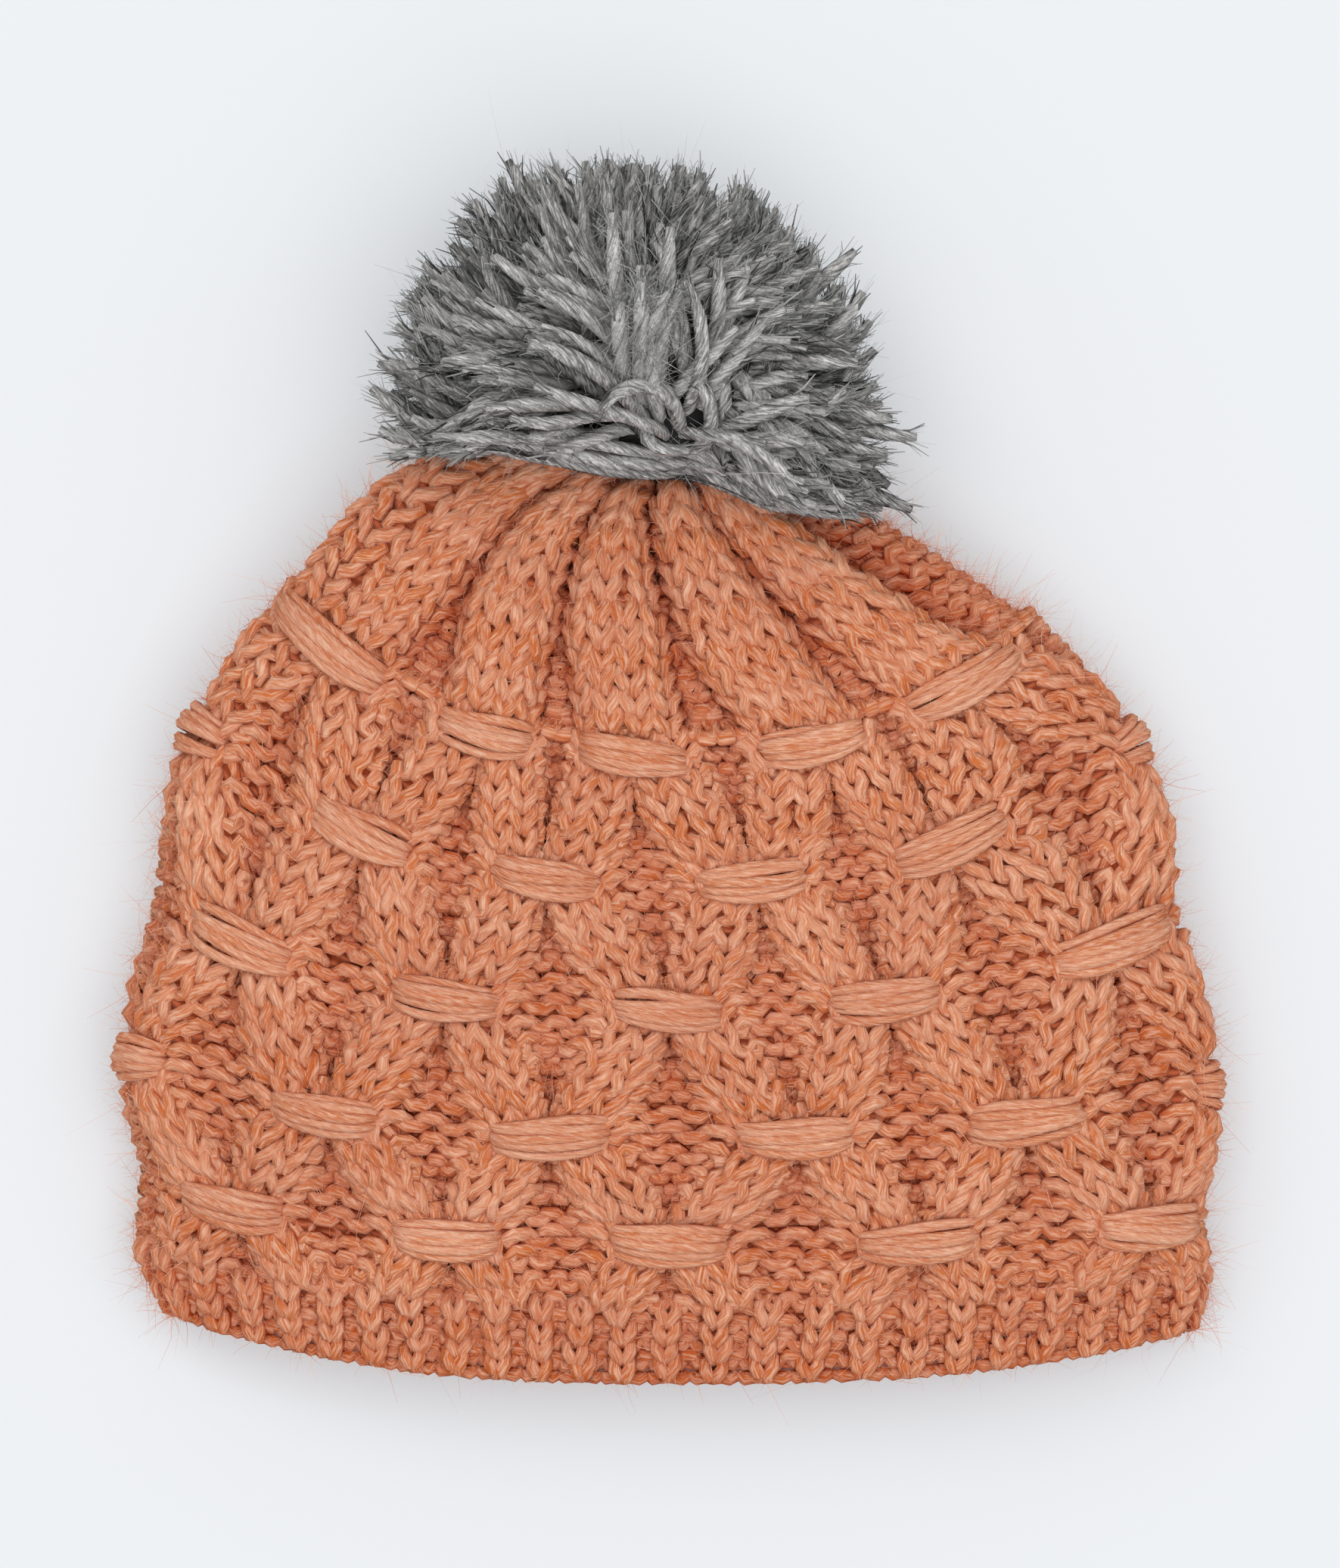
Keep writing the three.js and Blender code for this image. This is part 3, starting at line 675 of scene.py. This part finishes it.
def strand_paths():
    """Paths of the pompom's strands, from the tie to the cut ends, with the rise and the depth of each.

    Every strand leaves the tie steeply and bends over outwards, so that it lies along the dome. Its heading
    turns towards its lock's, by a smooth random field and away from the parting; some strands curl. The
    collar's strands lie low along the crown. A strand lies on the crown or the floor where it meets them,
    some lie deeper than the rest, and none rises over the highest.
    """
    draw = np.random.default_rng(11)
    t = np.linspace(0, 1, STRAND_POINTS)[None]
    way, rise = fan(POMPOM_STRANDS, 12, -86, 86)
    collar = np.concatenate([draw.uniform(176, 196, COLLAR_LEFT), draw.uniform(-27, -4, COLLAR_RIGHT)])
    way = np.concatenate([way, collar])
    rise = np.concatenate([rise, draw.uniform(4, 34, len(collar))])
    count = len(way)
    lock_way, lock_rise = fan(POMPOM_LOCKS, 14, -80, 84)
    round_gap = (way[:, None] - lock_way) ** 2 * np.cos(np.radians(rise))[:, None] ** 2
    nearest = (round_gap + (rise[:, None] - lock_rise) ** 2).argmin(1)
    pull = 0.75 * smoothstep(t, 0.1, 1)
    way = way[:, None] + (lock_way[nearest] - way)[:, None] * pull
    rise = rise[:, None] + (lock_rise[nearest] - rise)[:, None] * pull
    aside = (way - PARTING) / 9
    way = way + 9 * np.sign(aside) * np.exp(-np.abs(aside)) * smoothstep(rise, 5, 40) * (1 - 0.5 * t)
    slope = rise * (1.15 - 0.9 * t)
    flat = np.stack([way[:, 0], rise[:, 0] * 1.5, np.zeros(count)], 1)
    drift = waves(flat, 5, 26)
    curls = draw.uniform(0, 1, count) < np.where(way[:, 0] < 75, 0.45, 0.12)
    curly = curls * draw.normal(0, 62, count)
    curly[POMPOM_STRANDS:] *= 0.1
    bend = (drift[:, :1] * 22 + draw.normal(0, 9, (count, 1)) + curly[:, None]) * (t - 0.45) * 1.6
    bend = bend + drift[:, 1:2] * 14 * np.sin(np.pi * 2 * t)
    slope = slope + (draw.normal(0, 7, (count, 1)) + drift[:, 2:] * 8) * (t - 0.5)
    length = np.interp(way[:, -1], STRAND_LENGTHS[:, 0], STRAND_LENGTHS[:, 1])
    length = length * draw.normal(1, 0.028, count) * (1 - 0.12 * (np.abs(curly) > 40))
    first = POMPOM_ROOT + draw.normal(0, 1, (count, 3)) * [3.6, 1.6, 3.6]
    first[POMPOM_STRANDS:] += [0, -3.5, 4.5]
    first[POMPOM_STRANDS:, 0] -= 7 * np.sign(np.cos(np.radians(collar)))
    path = bend_along(way, slope, bend, length, first)
    front = rise[:, :1] > 2
    edge = np.interp(path[..., 0], CROWN_OUTLINE[:, 0], CROWN_OUTLINE[:, 1])
    over = smoothstep(edge + 3 - path[..., 1], 0, 6)
    layer = CROWN_TOP + draw.uniform(0, 8, (count, 1))
    path[..., 2] = np.where(front, np.maximum(path[..., 2], layer * over), path[..., 2])
    edge = edge + np.where(front, draw.uniform(-1.5, 4, (count, 1)), 2)
    path[..., 1] = edge + np.logaddexp(0, (path[..., 1] - edge) / 1.2) * 1.2
    deeper = (draw.uniform(0, 1, (count, 1)) < 0.4) * draw.uniform(2, 6, (count, 1))
    path[..., 2] -= deeper * smoothstep(t, 0, 0.4) * (path[..., 2] > 30)
    ground = POMPOM_YARN + draw.uniform(0, 6, (count, 1))
    path[..., 2] = ground + np.logaddexp(0, (path[..., 2] - ground) / 1.5) * 1.5
    path[..., 2] = HIGHEST - np.logaddexp(0, (HIGHEST - path[..., 2]) / 2) * 2
    return path, rise[:, 0], deeper[:, 0]


# where the strands of the standing tuft and of the knot start, are drawn towards and end, with its spread
TUFT = (((-2, 66, 46), (1.5, 1, 2)), ((-8, 78, 84), (2.5, 4, 1.5)), ((-5, 97, 86), (4.5, 4, 2)))
KNOT = (((-15, 65.5, 46), (4, 1.8, 1.5)), ((-3, 61.5, 54), (2, 2.6, 1.5)), ((13, 60.5, 48), (4, 1.8, 1.5)))


def arched_paths(count, seed, places):
    """Paths along parabolas from a first place to a last, drawn towards the one between them."""
    draw = np.random.default_rng(seed)
    t = np.linspace(0, 1, STRAND_POINTS)[None, :, None]
    first, middle, last = (place + draw.normal(0, 1, (count, 1, 3)) * spread for place, spread in places)
    path = first * (1 - t) ** 2 + middle * 2 * t * (1 - t) + last * t**2
    path[..., 2] = np.minimum(path[..., 2], HIGHEST)
    return path


def pompom_strands(name, path, seed, tones=(0, 1), depths=0):
    """Cut strands of the pompom: fuller from the tie outwards and drawn to a soft point at the cut end.

    Painted shade darkens them towards the tie, and the deeper they lie the darker it is.
    """
    t = np.linspace(0, 1, STRAND_POINTS)
    count = len(path)
    draw = np.random.default_rng(seed)
    thick = POMPOM_YARN * (1 + draw.normal(0, 0.09, (count, 1)))
    radii = thick * (0.7 + 0.3 * smoothstep(t, 0, 0.25)) * (1 - 0.5 * smoothstep(t, 0.86, 1))
    beside = np.cross(path[:, -1] - path[:, 0], [0.01, 0.02, 1])
    ups = np.cross(beside[:, None], np.gradient(path, axis=1))
    # painted shade: dark at the tie and on the strands that lie deeper
    shades = 3.6 - 6 * (1 - t) ** 2 - np.broadcast_to(depths, count)[:, None]
    tones = draw.uniform(*tones, count)
    return yarn_piece(name, path, ups, radii, STRAND_SIDES, 83.0, shades, tones, grey_yarn)


def ball(name, middle, reach, finish):
    """A closed, slightly uneven ellipsoid of rings, with its two ends at the top and the bottom."""
    around, up = 48, 24
    theta = TURN * np.arange(around)[None, :] / around
    phi = np.pi * np.arange(1, up)[:, None] / up
    ring = [np.sin(phi) * np.cos(theta), np.sin(phi) * np.sin(theta), np.cos(phi)]
    ring = np.stack(np.broadcast_arrays(*ring), -1).reshape(-1, 3)
    vertices = np.vstack([ring, [[0, 0, 1], [0, 0, -1]]])
    vertices = vertices * (1 + 0.05 * waves(vertices * 30, 2, 9)[:, :1]) * reach + middle
    here = np.arange(up - 2)[:, None] * around
    after = here + around
    k = np.arange(around)
    beside = (k + 1) % around
    quads = np.stack([here + k, after + k, after + beside, here + beside], -1).reshape(-1, 4)
    top, bottom = np.full(around, len(ring)), np.full(around, len(ring) + 1)
    last = (up - 2) * around
    fans = [np.stack([top, k, beside], 1), np.stack([bottom, last + beside, last + k], 1)]
    return make_piece(name, vertices, [quads, np.concatenate(fans)], None, finish)


# Fuzz

def fuzz(name, roots, heading, length, curl, finish, seed, half_width=(0.045, 0.08)):
    """Loose fibres as hair-thin ribbons: each leaves its root along its heading, bends and tapers."""
    draw = np.random.default_rng(seed)
    count, points = len(roots), 3
    t = np.linspace(0, 1, points)[None, :, None]
    size = length[:, None, None]
    turn = draw.normal(0, curl, (count, 1, 3))
    path = roots[:, None] + heading[:, None] * size * t + turn * size * t * t
    path[..., 2] = np.clip(path[..., 2], 0.5, HIGHEST + 3)
    across = unit(np.cross(np.gradient(path, axis=1), draw.normal(0, 1, (count, 1, 3))))
    half = draw.uniform(*half_width, (count, 1, 1)) * np.linspace(1, 0.3, points)[None, :, None]
    vertices = np.stack([path - across * half, path + across * half], 2).reshape(-1, 3)
    first = (np.arange(count) * points * 2)[:, None] + np.arange(points - 1) * 2
    quads = np.stack([first, first + 1, first + 3, first + 2], -1).reshape(-1, 4)
    values = {"tone": np.repeat(draw.uniform(0, 1, count), points * 2)}
    return make_piece(name, vertices, [quads], None, finish, values)


def square_to(along, vectors):
    """The part of each vector that is square to a direction, at length 1."""
    return unit(vectors - along * (vectors * along).sum(1)[:, None])


def leave(points, ups, radii, along, draw, lift):
    """Roots on the yarn's skin, and headings partly along the yarn, partly away from it and at random."""
    along = unit(along)
    away = square_to(along, ups + draw.normal(0, 0.75, points.shape))
    sign = draw.choice([-1.0, 1.0], (len(points), 1))
    heading = along * sign + away * draw.uniform(*lift, (len(points), 1))
    heading = heading + draw.normal(0, 0.3, points.shape)
    return points + away * radii[:, None] * 0.9, unit(heading)


# Finishes

class Wire:
    """A node's output that can stand in a sum: each operator adds a Math node."""

    def __init__(self, recipe, socket):
        self.recipe = recipe
        self.socket = socket

    def maths(self, operation, first, second=0.0):
        return self.recipe.node("ShaderNodeMath", {"operation": operation}, {0: first, 1: second})

    def __add__(self, other):
        return self.maths("ADD", self, other)

    def __rsub__(self, other):
        return self.maths("SUBTRACT", other, self)

    def __mul__(self, other):
        return self.maths("MULTIPLY", self, other)

    def __pow__(self, other):
        return self.maths("POWER", self, other)

    def sine(self):
        return self.maths("SINE", self)

    def cosine(self):
        return self.maths("COSINE", self)

    def size(self):
        return self.maths("ABSOLUTE", self)

    def between(self, low, high):
        """0 at low and 1 at high, eased and held outside them."""
        settings = {"interpolation_type": "SMOOTHSTEP"}
        sockets = {"Value": self, "From Min": low, "From Max": high}
        return self.recipe.node("ShaderNodeMapRange", settings, sockets)


class Recipe:
    """A material being made: node adds any node, and finish joins the shader to the output."""

    def __init__(self, name):
        self.material = bpy.data.materials.new(name)
        self.material.use_nodes = True
        self.tree = self.material.node_tree
        self.tree.nodes.clear()

    def node(self, kind, settings, sockets, output=0):
        made = self.tree.nodes.new(kind)
        for key, value in settings.items():
            setattr(made, key, value)
        for key, value in sockets.items():
            if isinstance(value, Wire):
                self.tree.links.new(value.socket, made.inputs[key])
            else:
                made.inputs[key].default_value = value
        return Wire(self, made.outputs[output])

    def attribute(self, name):
        return self.node("ShaderNodeAttribute", {"attribute_name": name}, {}, 2)

    def way(self):
        """The texture coordinates: along the yarn or round the hat, and round the yarn or along the hat."""
        uv = self.node("ShaderNodeUVMap", {"uv_map": "yarn"}, {})
        return (self.node("ShaderNodeSeparateXYZ", {}, {0: uv}, k) for k in (0, 1))

    def noise(self, vector, scale, detail=2.0):
        return self.node("ShaderNodeTexNoise", {}, {"Vector": vector, "Scale": scale, "Detail": detail})

    def combine(self, x, y, z):
        return self.node("ShaderNodeCombineXYZ", {}, {0: x, 1: y, 2: z})

    def blend(self, share, first, second):
        return self.node("ShaderNodeMix", {"data_type": "RGBA"}, {"Factor": share, 6: first, 7: second}, 2)

    def finish(self, sockets):
        shader = self.node("ShaderNodeBsdfPrincipled", {}, sockets)
        out = self.tree.nodes.new("ShaderNodeOutputMaterial")
        self.tree.links.new(shader.socket, out.inputs["Surface"])
        return self.material


def colour(red, green, blue):
    """An sRGB colour from 0 to 255 as the linear one that a shader takes."""
    parts = np.array([red, green, blue]) / 255
    linear = np.where(parts <= 0.04045, parts / 12.92, ((parts + 0.055) / 1.055) ** 2.4)
    return (*linear, 1.0)


def yarn_finish(name, deep, body, bright, fleck, twist, ply_depth, streaks, sheen, low):
    """Wool yarn: fibres that run round it in a long twist, two plies, and painted shade low in the cloth.

    The texture coordinates are wound into a circle, so that the fibres have no seam. A noise stretched
    along the yarn makes the fibres, and the size of a cosine the two plies. The depth is the share of
    painted light: it grows with the height in the cloth and towards the yarn's outer and inner side. Below
    low the colour is the deep one, a painted shade; where the depth is high, fibre streaks take the bright
    one, a painted highlight, and the ply grooves take the deep one as painted shade. fleck is the share and
    colour of stray fibres.
    """
    recipe = Recipe(name)
    u, v = recipe.way()
    tone = recipe.attribute("tone")
    # the "height" attribute holds each point's painted shade
    height = recipe.attribute("height")
    wound = (v + u * twist) * TURN
    cell = recipe.combine(wound.cosine(), wound.sine(), u * 0.13 + tone * 17)
    fibres = recipe.noise(cell, 3.6, 4.0)
    strays = recipe.noise(recipe.combine(v * 3.0, u * 0.9, tone * 9), 3.0, 3.0)
    place = recipe.node("ShaderNodeTexCoord", {}, {}, 3)
    patches = recipe.noise(place, 38.0, 3.0)
    plies = wound.cosine().size()
    coarse = recipe.noise(cell, 2.2, 2.0)
    # painted light: the yarn's outer and inner side are lit, its sides are in painted shade
    facing = (v * TURN).cosine().size()
    top = facing.between(-0.35, 0.95)
    depth = height.between(-5.0, 3.6) * 0.66 + top * 0.6
    # painted shade: the deep colour where the depth is low; each yarn's own tone shows paler where the
    # painted light is
    shade = recipe.blend(depth.between(low, 1.15), deep, body)
    shade = recipe.blend(tone * depth * 0.2, shade, bright)
    streak = fibres.between(0.38, 0.62) * (coarse.between(0.3, 0.7) * 0.6 + 0.4)
    # painted highlight: fibre streaks turn bright where the painted light is
    lit = recipe.blend(streak * depth.between(0.25, 1.1) * streaks, shade, bright)
    # painted shade in the grooves between the plies
    lit = recipe.blend((1 - plies) ** 4 * ply_depth, lit, deep)
    lit = recipe.blend(strays.between(0.55, 0.8) * depth.between(0.2, 0.9) * fleck[0], lit, fleck[1])
    lit = recipe.blend(patches.between(0.3, 0.7) * 0.16, lit, deep)
    relief = fibres * 0.7 + plies * ply_depth + strays * 0.3
    bump = recipe.node("ShaderNodeBump", {}, {"Height": relief, "Strength": 0.9, "Distance": 0.0005})
    return recipe.finish({
        "Base Color": lit,
        "Roughness": 0.95,
        "Specular IOR Level": 0.02,
        "Sheen Weight": sheen[0],
        "Sheen Roughness": 0.5,
        "Sheen Tint": sheen[1],
        "Normal": bump,
    })


def fibre_finish(name, dull, bright, see_through):
    """Single loose fibres: thin enough to let some light past, each in its own tone."""
    recipe = Recipe(name)
    return recipe.finish({
        "Base Color": recipe.blend(recipe.attribute("tone"), dull, bright),
        "Roughness": 0.7,
        "Specular IOR Level": 0.2,
        "Alpha": 1 - see_through,
    })


def lining_finish(name, deep, body):
    """The cloth's inner side: rows of purl bumps, worked out from the stitches' own coordinates."""
    recipe = Recipe(name)
    u, v = recipe.way()
    ripple = (v * TURN * 2 + (u * TURN).cosine() * 1.1).sine()
    place = recipe.node("ShaderNodeTexCoord", {}, {}, 3)
    fibres = recipe.noise(place, 900.0, 4.0)
    height = ripple * 0.5 + fibres * 0.5
    bump = recipe.node("ShaderNodeBump", {}, {"Height": height, "Strength": 0.8, "Distance": 0.001})
    return recipe.finish({
        # painted shade: the troughs of the ripples take the deep colour
        "Base Color": recipe.blend(ripple.between(-1.0, 1.0), deep, body),
        "Roughness": 1.0,
        "Specular IOR Level": 0.05,
        "Sheen Weight": 0.2,
        "Normal": bump,
    })


# deep is the painted shade of the crevices and of the yarn's sides, bright the painted highlight on its lit
# fibres
hat_yarn = yarn_finish(
    "terracotta yarn", colour(160, 44, 0), colour(204, 111, 57), colour(252, 211, 184),
    (0.18, colour(248, 196, 170)), 0.03, 0.3, 0.68, (0.01, colour(255, 205, 180)), 0.2,
)
hat_fibres = fibre_finish("terracotta fuzz", colour(200, 100, 56), colour(246, 190, 160), 0.2)
# the inner side's colours are the painted shade of the gaps between the stitches, darker than the yarn's own
hat_lining = lining_finish("terracotta inner side", colour(146, 62, 30), colour(196, 104, 68))
# deep is the near-black painted shade between the strands and on their sides, bright the painted highlight on
# their lit fibres
grey_yarn = yarn_finish(
    "heathered grey yarn", colour(3, 3, 3), colour(121, 120, 119), colour(246, 244, 242),
    (0.75, colour(20, 20, 22)), 0.05, 0.6, 0.95, (0.01, colour(235, 235, 235)), 0.53,
)
grey_fibres = fibre_finish("grey fuzz", colour(60, 60, 60), colour(205, 205, 203), 0.15)
grey_ends = fibre_finish("grey cut ends", colour(22, 22, 22), colour(176, 176, 174), 0.1)
# the heart is near-black painted shade inside the pompom, among its strands
grey_heart_shade = lining_finish("grey heart shade", colour(14, 14, 14), colour(34, 34, 34))

# Pieces

# first and last station, points to a stitch and sides of the yarn
FRONT = (-0.72, 4.64, 12, 6)
BACK = (4.64, 9.28, 6, 5)
hem = stitches("hem_front", range(0, HEM_ROWS), *FRONT)
stitches("hem_back", range(0, HEM_ROWS), *BACK)
lower = stitches("lower_front", range(HEM_ROWS, 18), *FRONT)
stitches("upper_front", range(18, 31), *FRONT)
stitches("crown_front", range(31, CROWN_ROW - 1), *FRONT)
stitches("back_stitches", range(HEM_ROWS, CROWN_ROW - 1), *BACK)
wraps("wraps")
backing("inner_side")
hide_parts("ribbed_hem")
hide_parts("knit_body")

strand_path, strand_rise, strand_depth = strand_paths()
in_front = strand_rise > LOWEST_FRONT
front_strands = pompom_strands("pompom_front", strand_path[in_front], 13, depths=1.3 * strand_depth[in_front])
pompom_strands("pompom_back", strand_path[~in_front], 15)
tuft = arched_paths(9, 17, TUFT)
pompom_strands("pompom_tuft", tuft, 19, (0.8, 1.8))
pompom_strands("pompom_knot", arched_paths(14, 18, KNOT), 20)
# a dark ball of painted shade where the pompom's strands leave only shade
ball("pompom_shaded_heart", (-2, 78, 41), (26, 20, 24), grey_heart_shade)
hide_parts("pompom", "pompom_tie")


def hat_fuzz(name, count, seed):
    """Fibres that leave the yarn of every row of the hat, most of them in front and near the outline."""
    draw = np.random.default_rng(seed)
    fibres = []
    for row in range(CROWN_ROW - 1):
        for (first, last, *_), share in ((FRONT, 0.82), (BACK, 0.18)):
            points, ups, radii, _ = row_path(row, first, last, 12)
            weight = 0.3 + 2.5 * (1 - np.abs(ups[:-1, 2])) ** 2
            number = int(count * share / CROWN_ROW)
            chosen = draw.choice(len(points) - 1, number, p=weight / weight.sum())
            near = points[chosen], ups[chosen], radii[chosen]
            along = points[chosen + 1] - points[chosen]
            fibres.append(leave(*near, along, draw, (0.2, 1.3)))
    place, heading = (np.concatenate(part) for part in zip(*fibres))
    length = draw.gamma(4, 0.75, len(place)) + 0.8
    return fuzz(name, place, heading, length, 0.45, hat_fibres, seed)


def pompom_fuzz(name, count, seed):
    """Fibres along the pompom's strands, most of them towards the cut ends."""
    draw = np.random.default_rng(seed)
    strand = draw.integers(0, len(strand_path), count)
    knot = STRAND_POINTS - 2 - np.floor(draw.uniform(0, 1, count) ** 1.5 * 11).astype(int)
    points = strand_path[strand, knot]
    along = strand_path[strand, knot + 1] - points
    ups = draw.normal(0, 0.6, (count, 3)) + [0, 0, 0.8]
    points = points + along * draw.uniform(0, 1, (count, 1))
    place, heading = leave(points, ups, np.full(count, POMPOM_YARN), along, draw, (0.15, 0.9))
    length = draw.gamma(3, 1.1, count) + 1.2
    return fuzz(name, place, heading, length, 0.4, grey_fibres, seed)


def tuft_fuzz(name, path, count, seed):
    """The soft halo of the standing tuft, thickest round its cut ends."""
    draw = np.random.default_rng(seed)
    strand = draw.integers(0, len(path), count)
    knot = STRAND_POINTS - 2 - np.floor(draw.uniform(0, 1, count) ** 1.3 * 9).astype(int)
    along = path[strand, knot + 1] - path[strand, knot]
    points = path[strand, knot] + along * draw.uniform(0, 1, (count, 1))
    ups = draw.normal(0, 0.7, (count, 3)) + [0, 0, 0.5]
    place, heading = leave(points, ups, np.full(count, POMPOM_YARN), along, draw, (0.2, 1.6))
    return fuzz(name, place, heading, draw.gamma(3, 1.0, count) + 1, 0.5, grey_fibres, seed)


def cut_ends(name, each, seed):
    """The little brush of fibres in which every strand of the pompom ends."""
    draw = np.random.default_rng(seed)
    path = np.concatenate([strand_path, tuft])
    last = np.repeat(path[:, -1], each, axis=0)
    along = unit(last - np.repeat(path[:, -2], each, axis=0))
    beside = square_to(along, draw.normal(0, 1, along.shape))
    place = last + beside * POMPOM_YARN * draw.uniform(0.2, 0.8, (len(last), 1)) - along * 4
    heading = along + beside * draw.normal(0.02, 0.13, (len(last), 1)) + draw.normal(0, 0.06, along.shape)
    length = draw.uniform(3.6, 6, len(last))
    return fuzz(name, place, heading, length, 0.22, grey_ends, seed, (0.15, 0.36))


hat_fuzz("hat_fuzz", 40000, 21)
pompom_fuzz("pompom_fuzz", 15000, 22)
cut_ends("cut_ends", 12, 23)
tuft_fuzz("tuft_fuzz", tuft, 2500, 24)

# Floor, light and camera
HALF_FLOOR = 3.0
floor_mesh = bpy.data.meshes.new("floor")
floor_corners = [(x * HALF_FLOOR, y * HALF_FLOOR, 0) for x, y in ((-1, -1), (1, -1), (1, 1), (-1, 1))]
floor_mesh.from_pydata(floor_corners, [], [(0, 1, 2, 3)])
floor = bpy.data.objects.new("floor", floor_mesh)
bpy.context.scene.collection.objects.link(floor)
floor_recipe = Recipe("pale floor")
floor_mesh.materials.append(floor_recipe.finish({
    "Base Color": (0.6, 0.62, 0.645, 1),
    "Roughness": 0.9,
    "Emission Color": (0.95, 0.98, 1, 1),
    "Emission Strength": 0.21,
}))

world = bpy.data.worlds.new("soft studio")
world.use_nodes = True
world.node_tree.nodes["Background"].inputs["Color"].default_value = (0.985, 0.993, 1.0, 1)
world.node_tree.nodes["Background"].inputs["Strength"].default_value = 0.5
bpy.context.scene.world = world


def lamp(name, place, width, power, tint):
    """A square soft light that faces the hat."""
    light = bpy.data.lights.new(name, "AREA")
    light.size = width
    light.energy = power
    light.color = tint
    holder = bpy.data.objects.new(name, light)
    holder.location = place
    x, y, z = np.array([0, 0, 0.02]) - np.array(place)
    holder.rotation_euler = (math.atan2(math.hypot(x, y), -z), 0, math.atan2(-x, y))
    bpy.context.scene.collection.objects.link(holder)


lamp("softbox", (0.2, -0.1, 2.3), 2.6, 40, (1.0, 0.993, 0.985))
lamp("window", (-0.9, 1.1, 1.6), 1.0, 5, (1.0, 0.985, 0.965))

# The photograph is 1771 x 2072 pixels, and 275.8 mm wide on the hat's upper side
PIXEL = 0.1557
PHOTO_WIDTH = 1771
PHOTO_HEIGHT = 2072
ORIGIN_X = 882  # where the hat's origin is in the photograph
ORIGIN_Y = 1008
CAMERA_HEIGHT = 1500
FOCUS_PLANE = 25
camera_data = bpy.data.cameras.new("camera")
camera_data.lens = camera_data.sensor_width * (CAMERA_HEIGHT - FOCUS_PLANE) / (PHOTO_HEIGHT * PIXEL)
camera_data.clip_start = 0.05
camera = bpy.data.objects.new("camera", camera_data)
middle_x = (PHOTO_WIDTH / 2 - ORIGIN_X) * PIXEL
middle_y = (ORIGIN_Y - PHOTO_HEIGHT / 2) * PIXEL
camera.location = (middle_x * MM, middle_y * MM, CAMERA_HEIGHT * MM)
bpy.context.scene.collection.objects.link(camera)
bpy.context.scene.camera = camera
bpy.context.scene.view_settings.view_transform = "Standard"
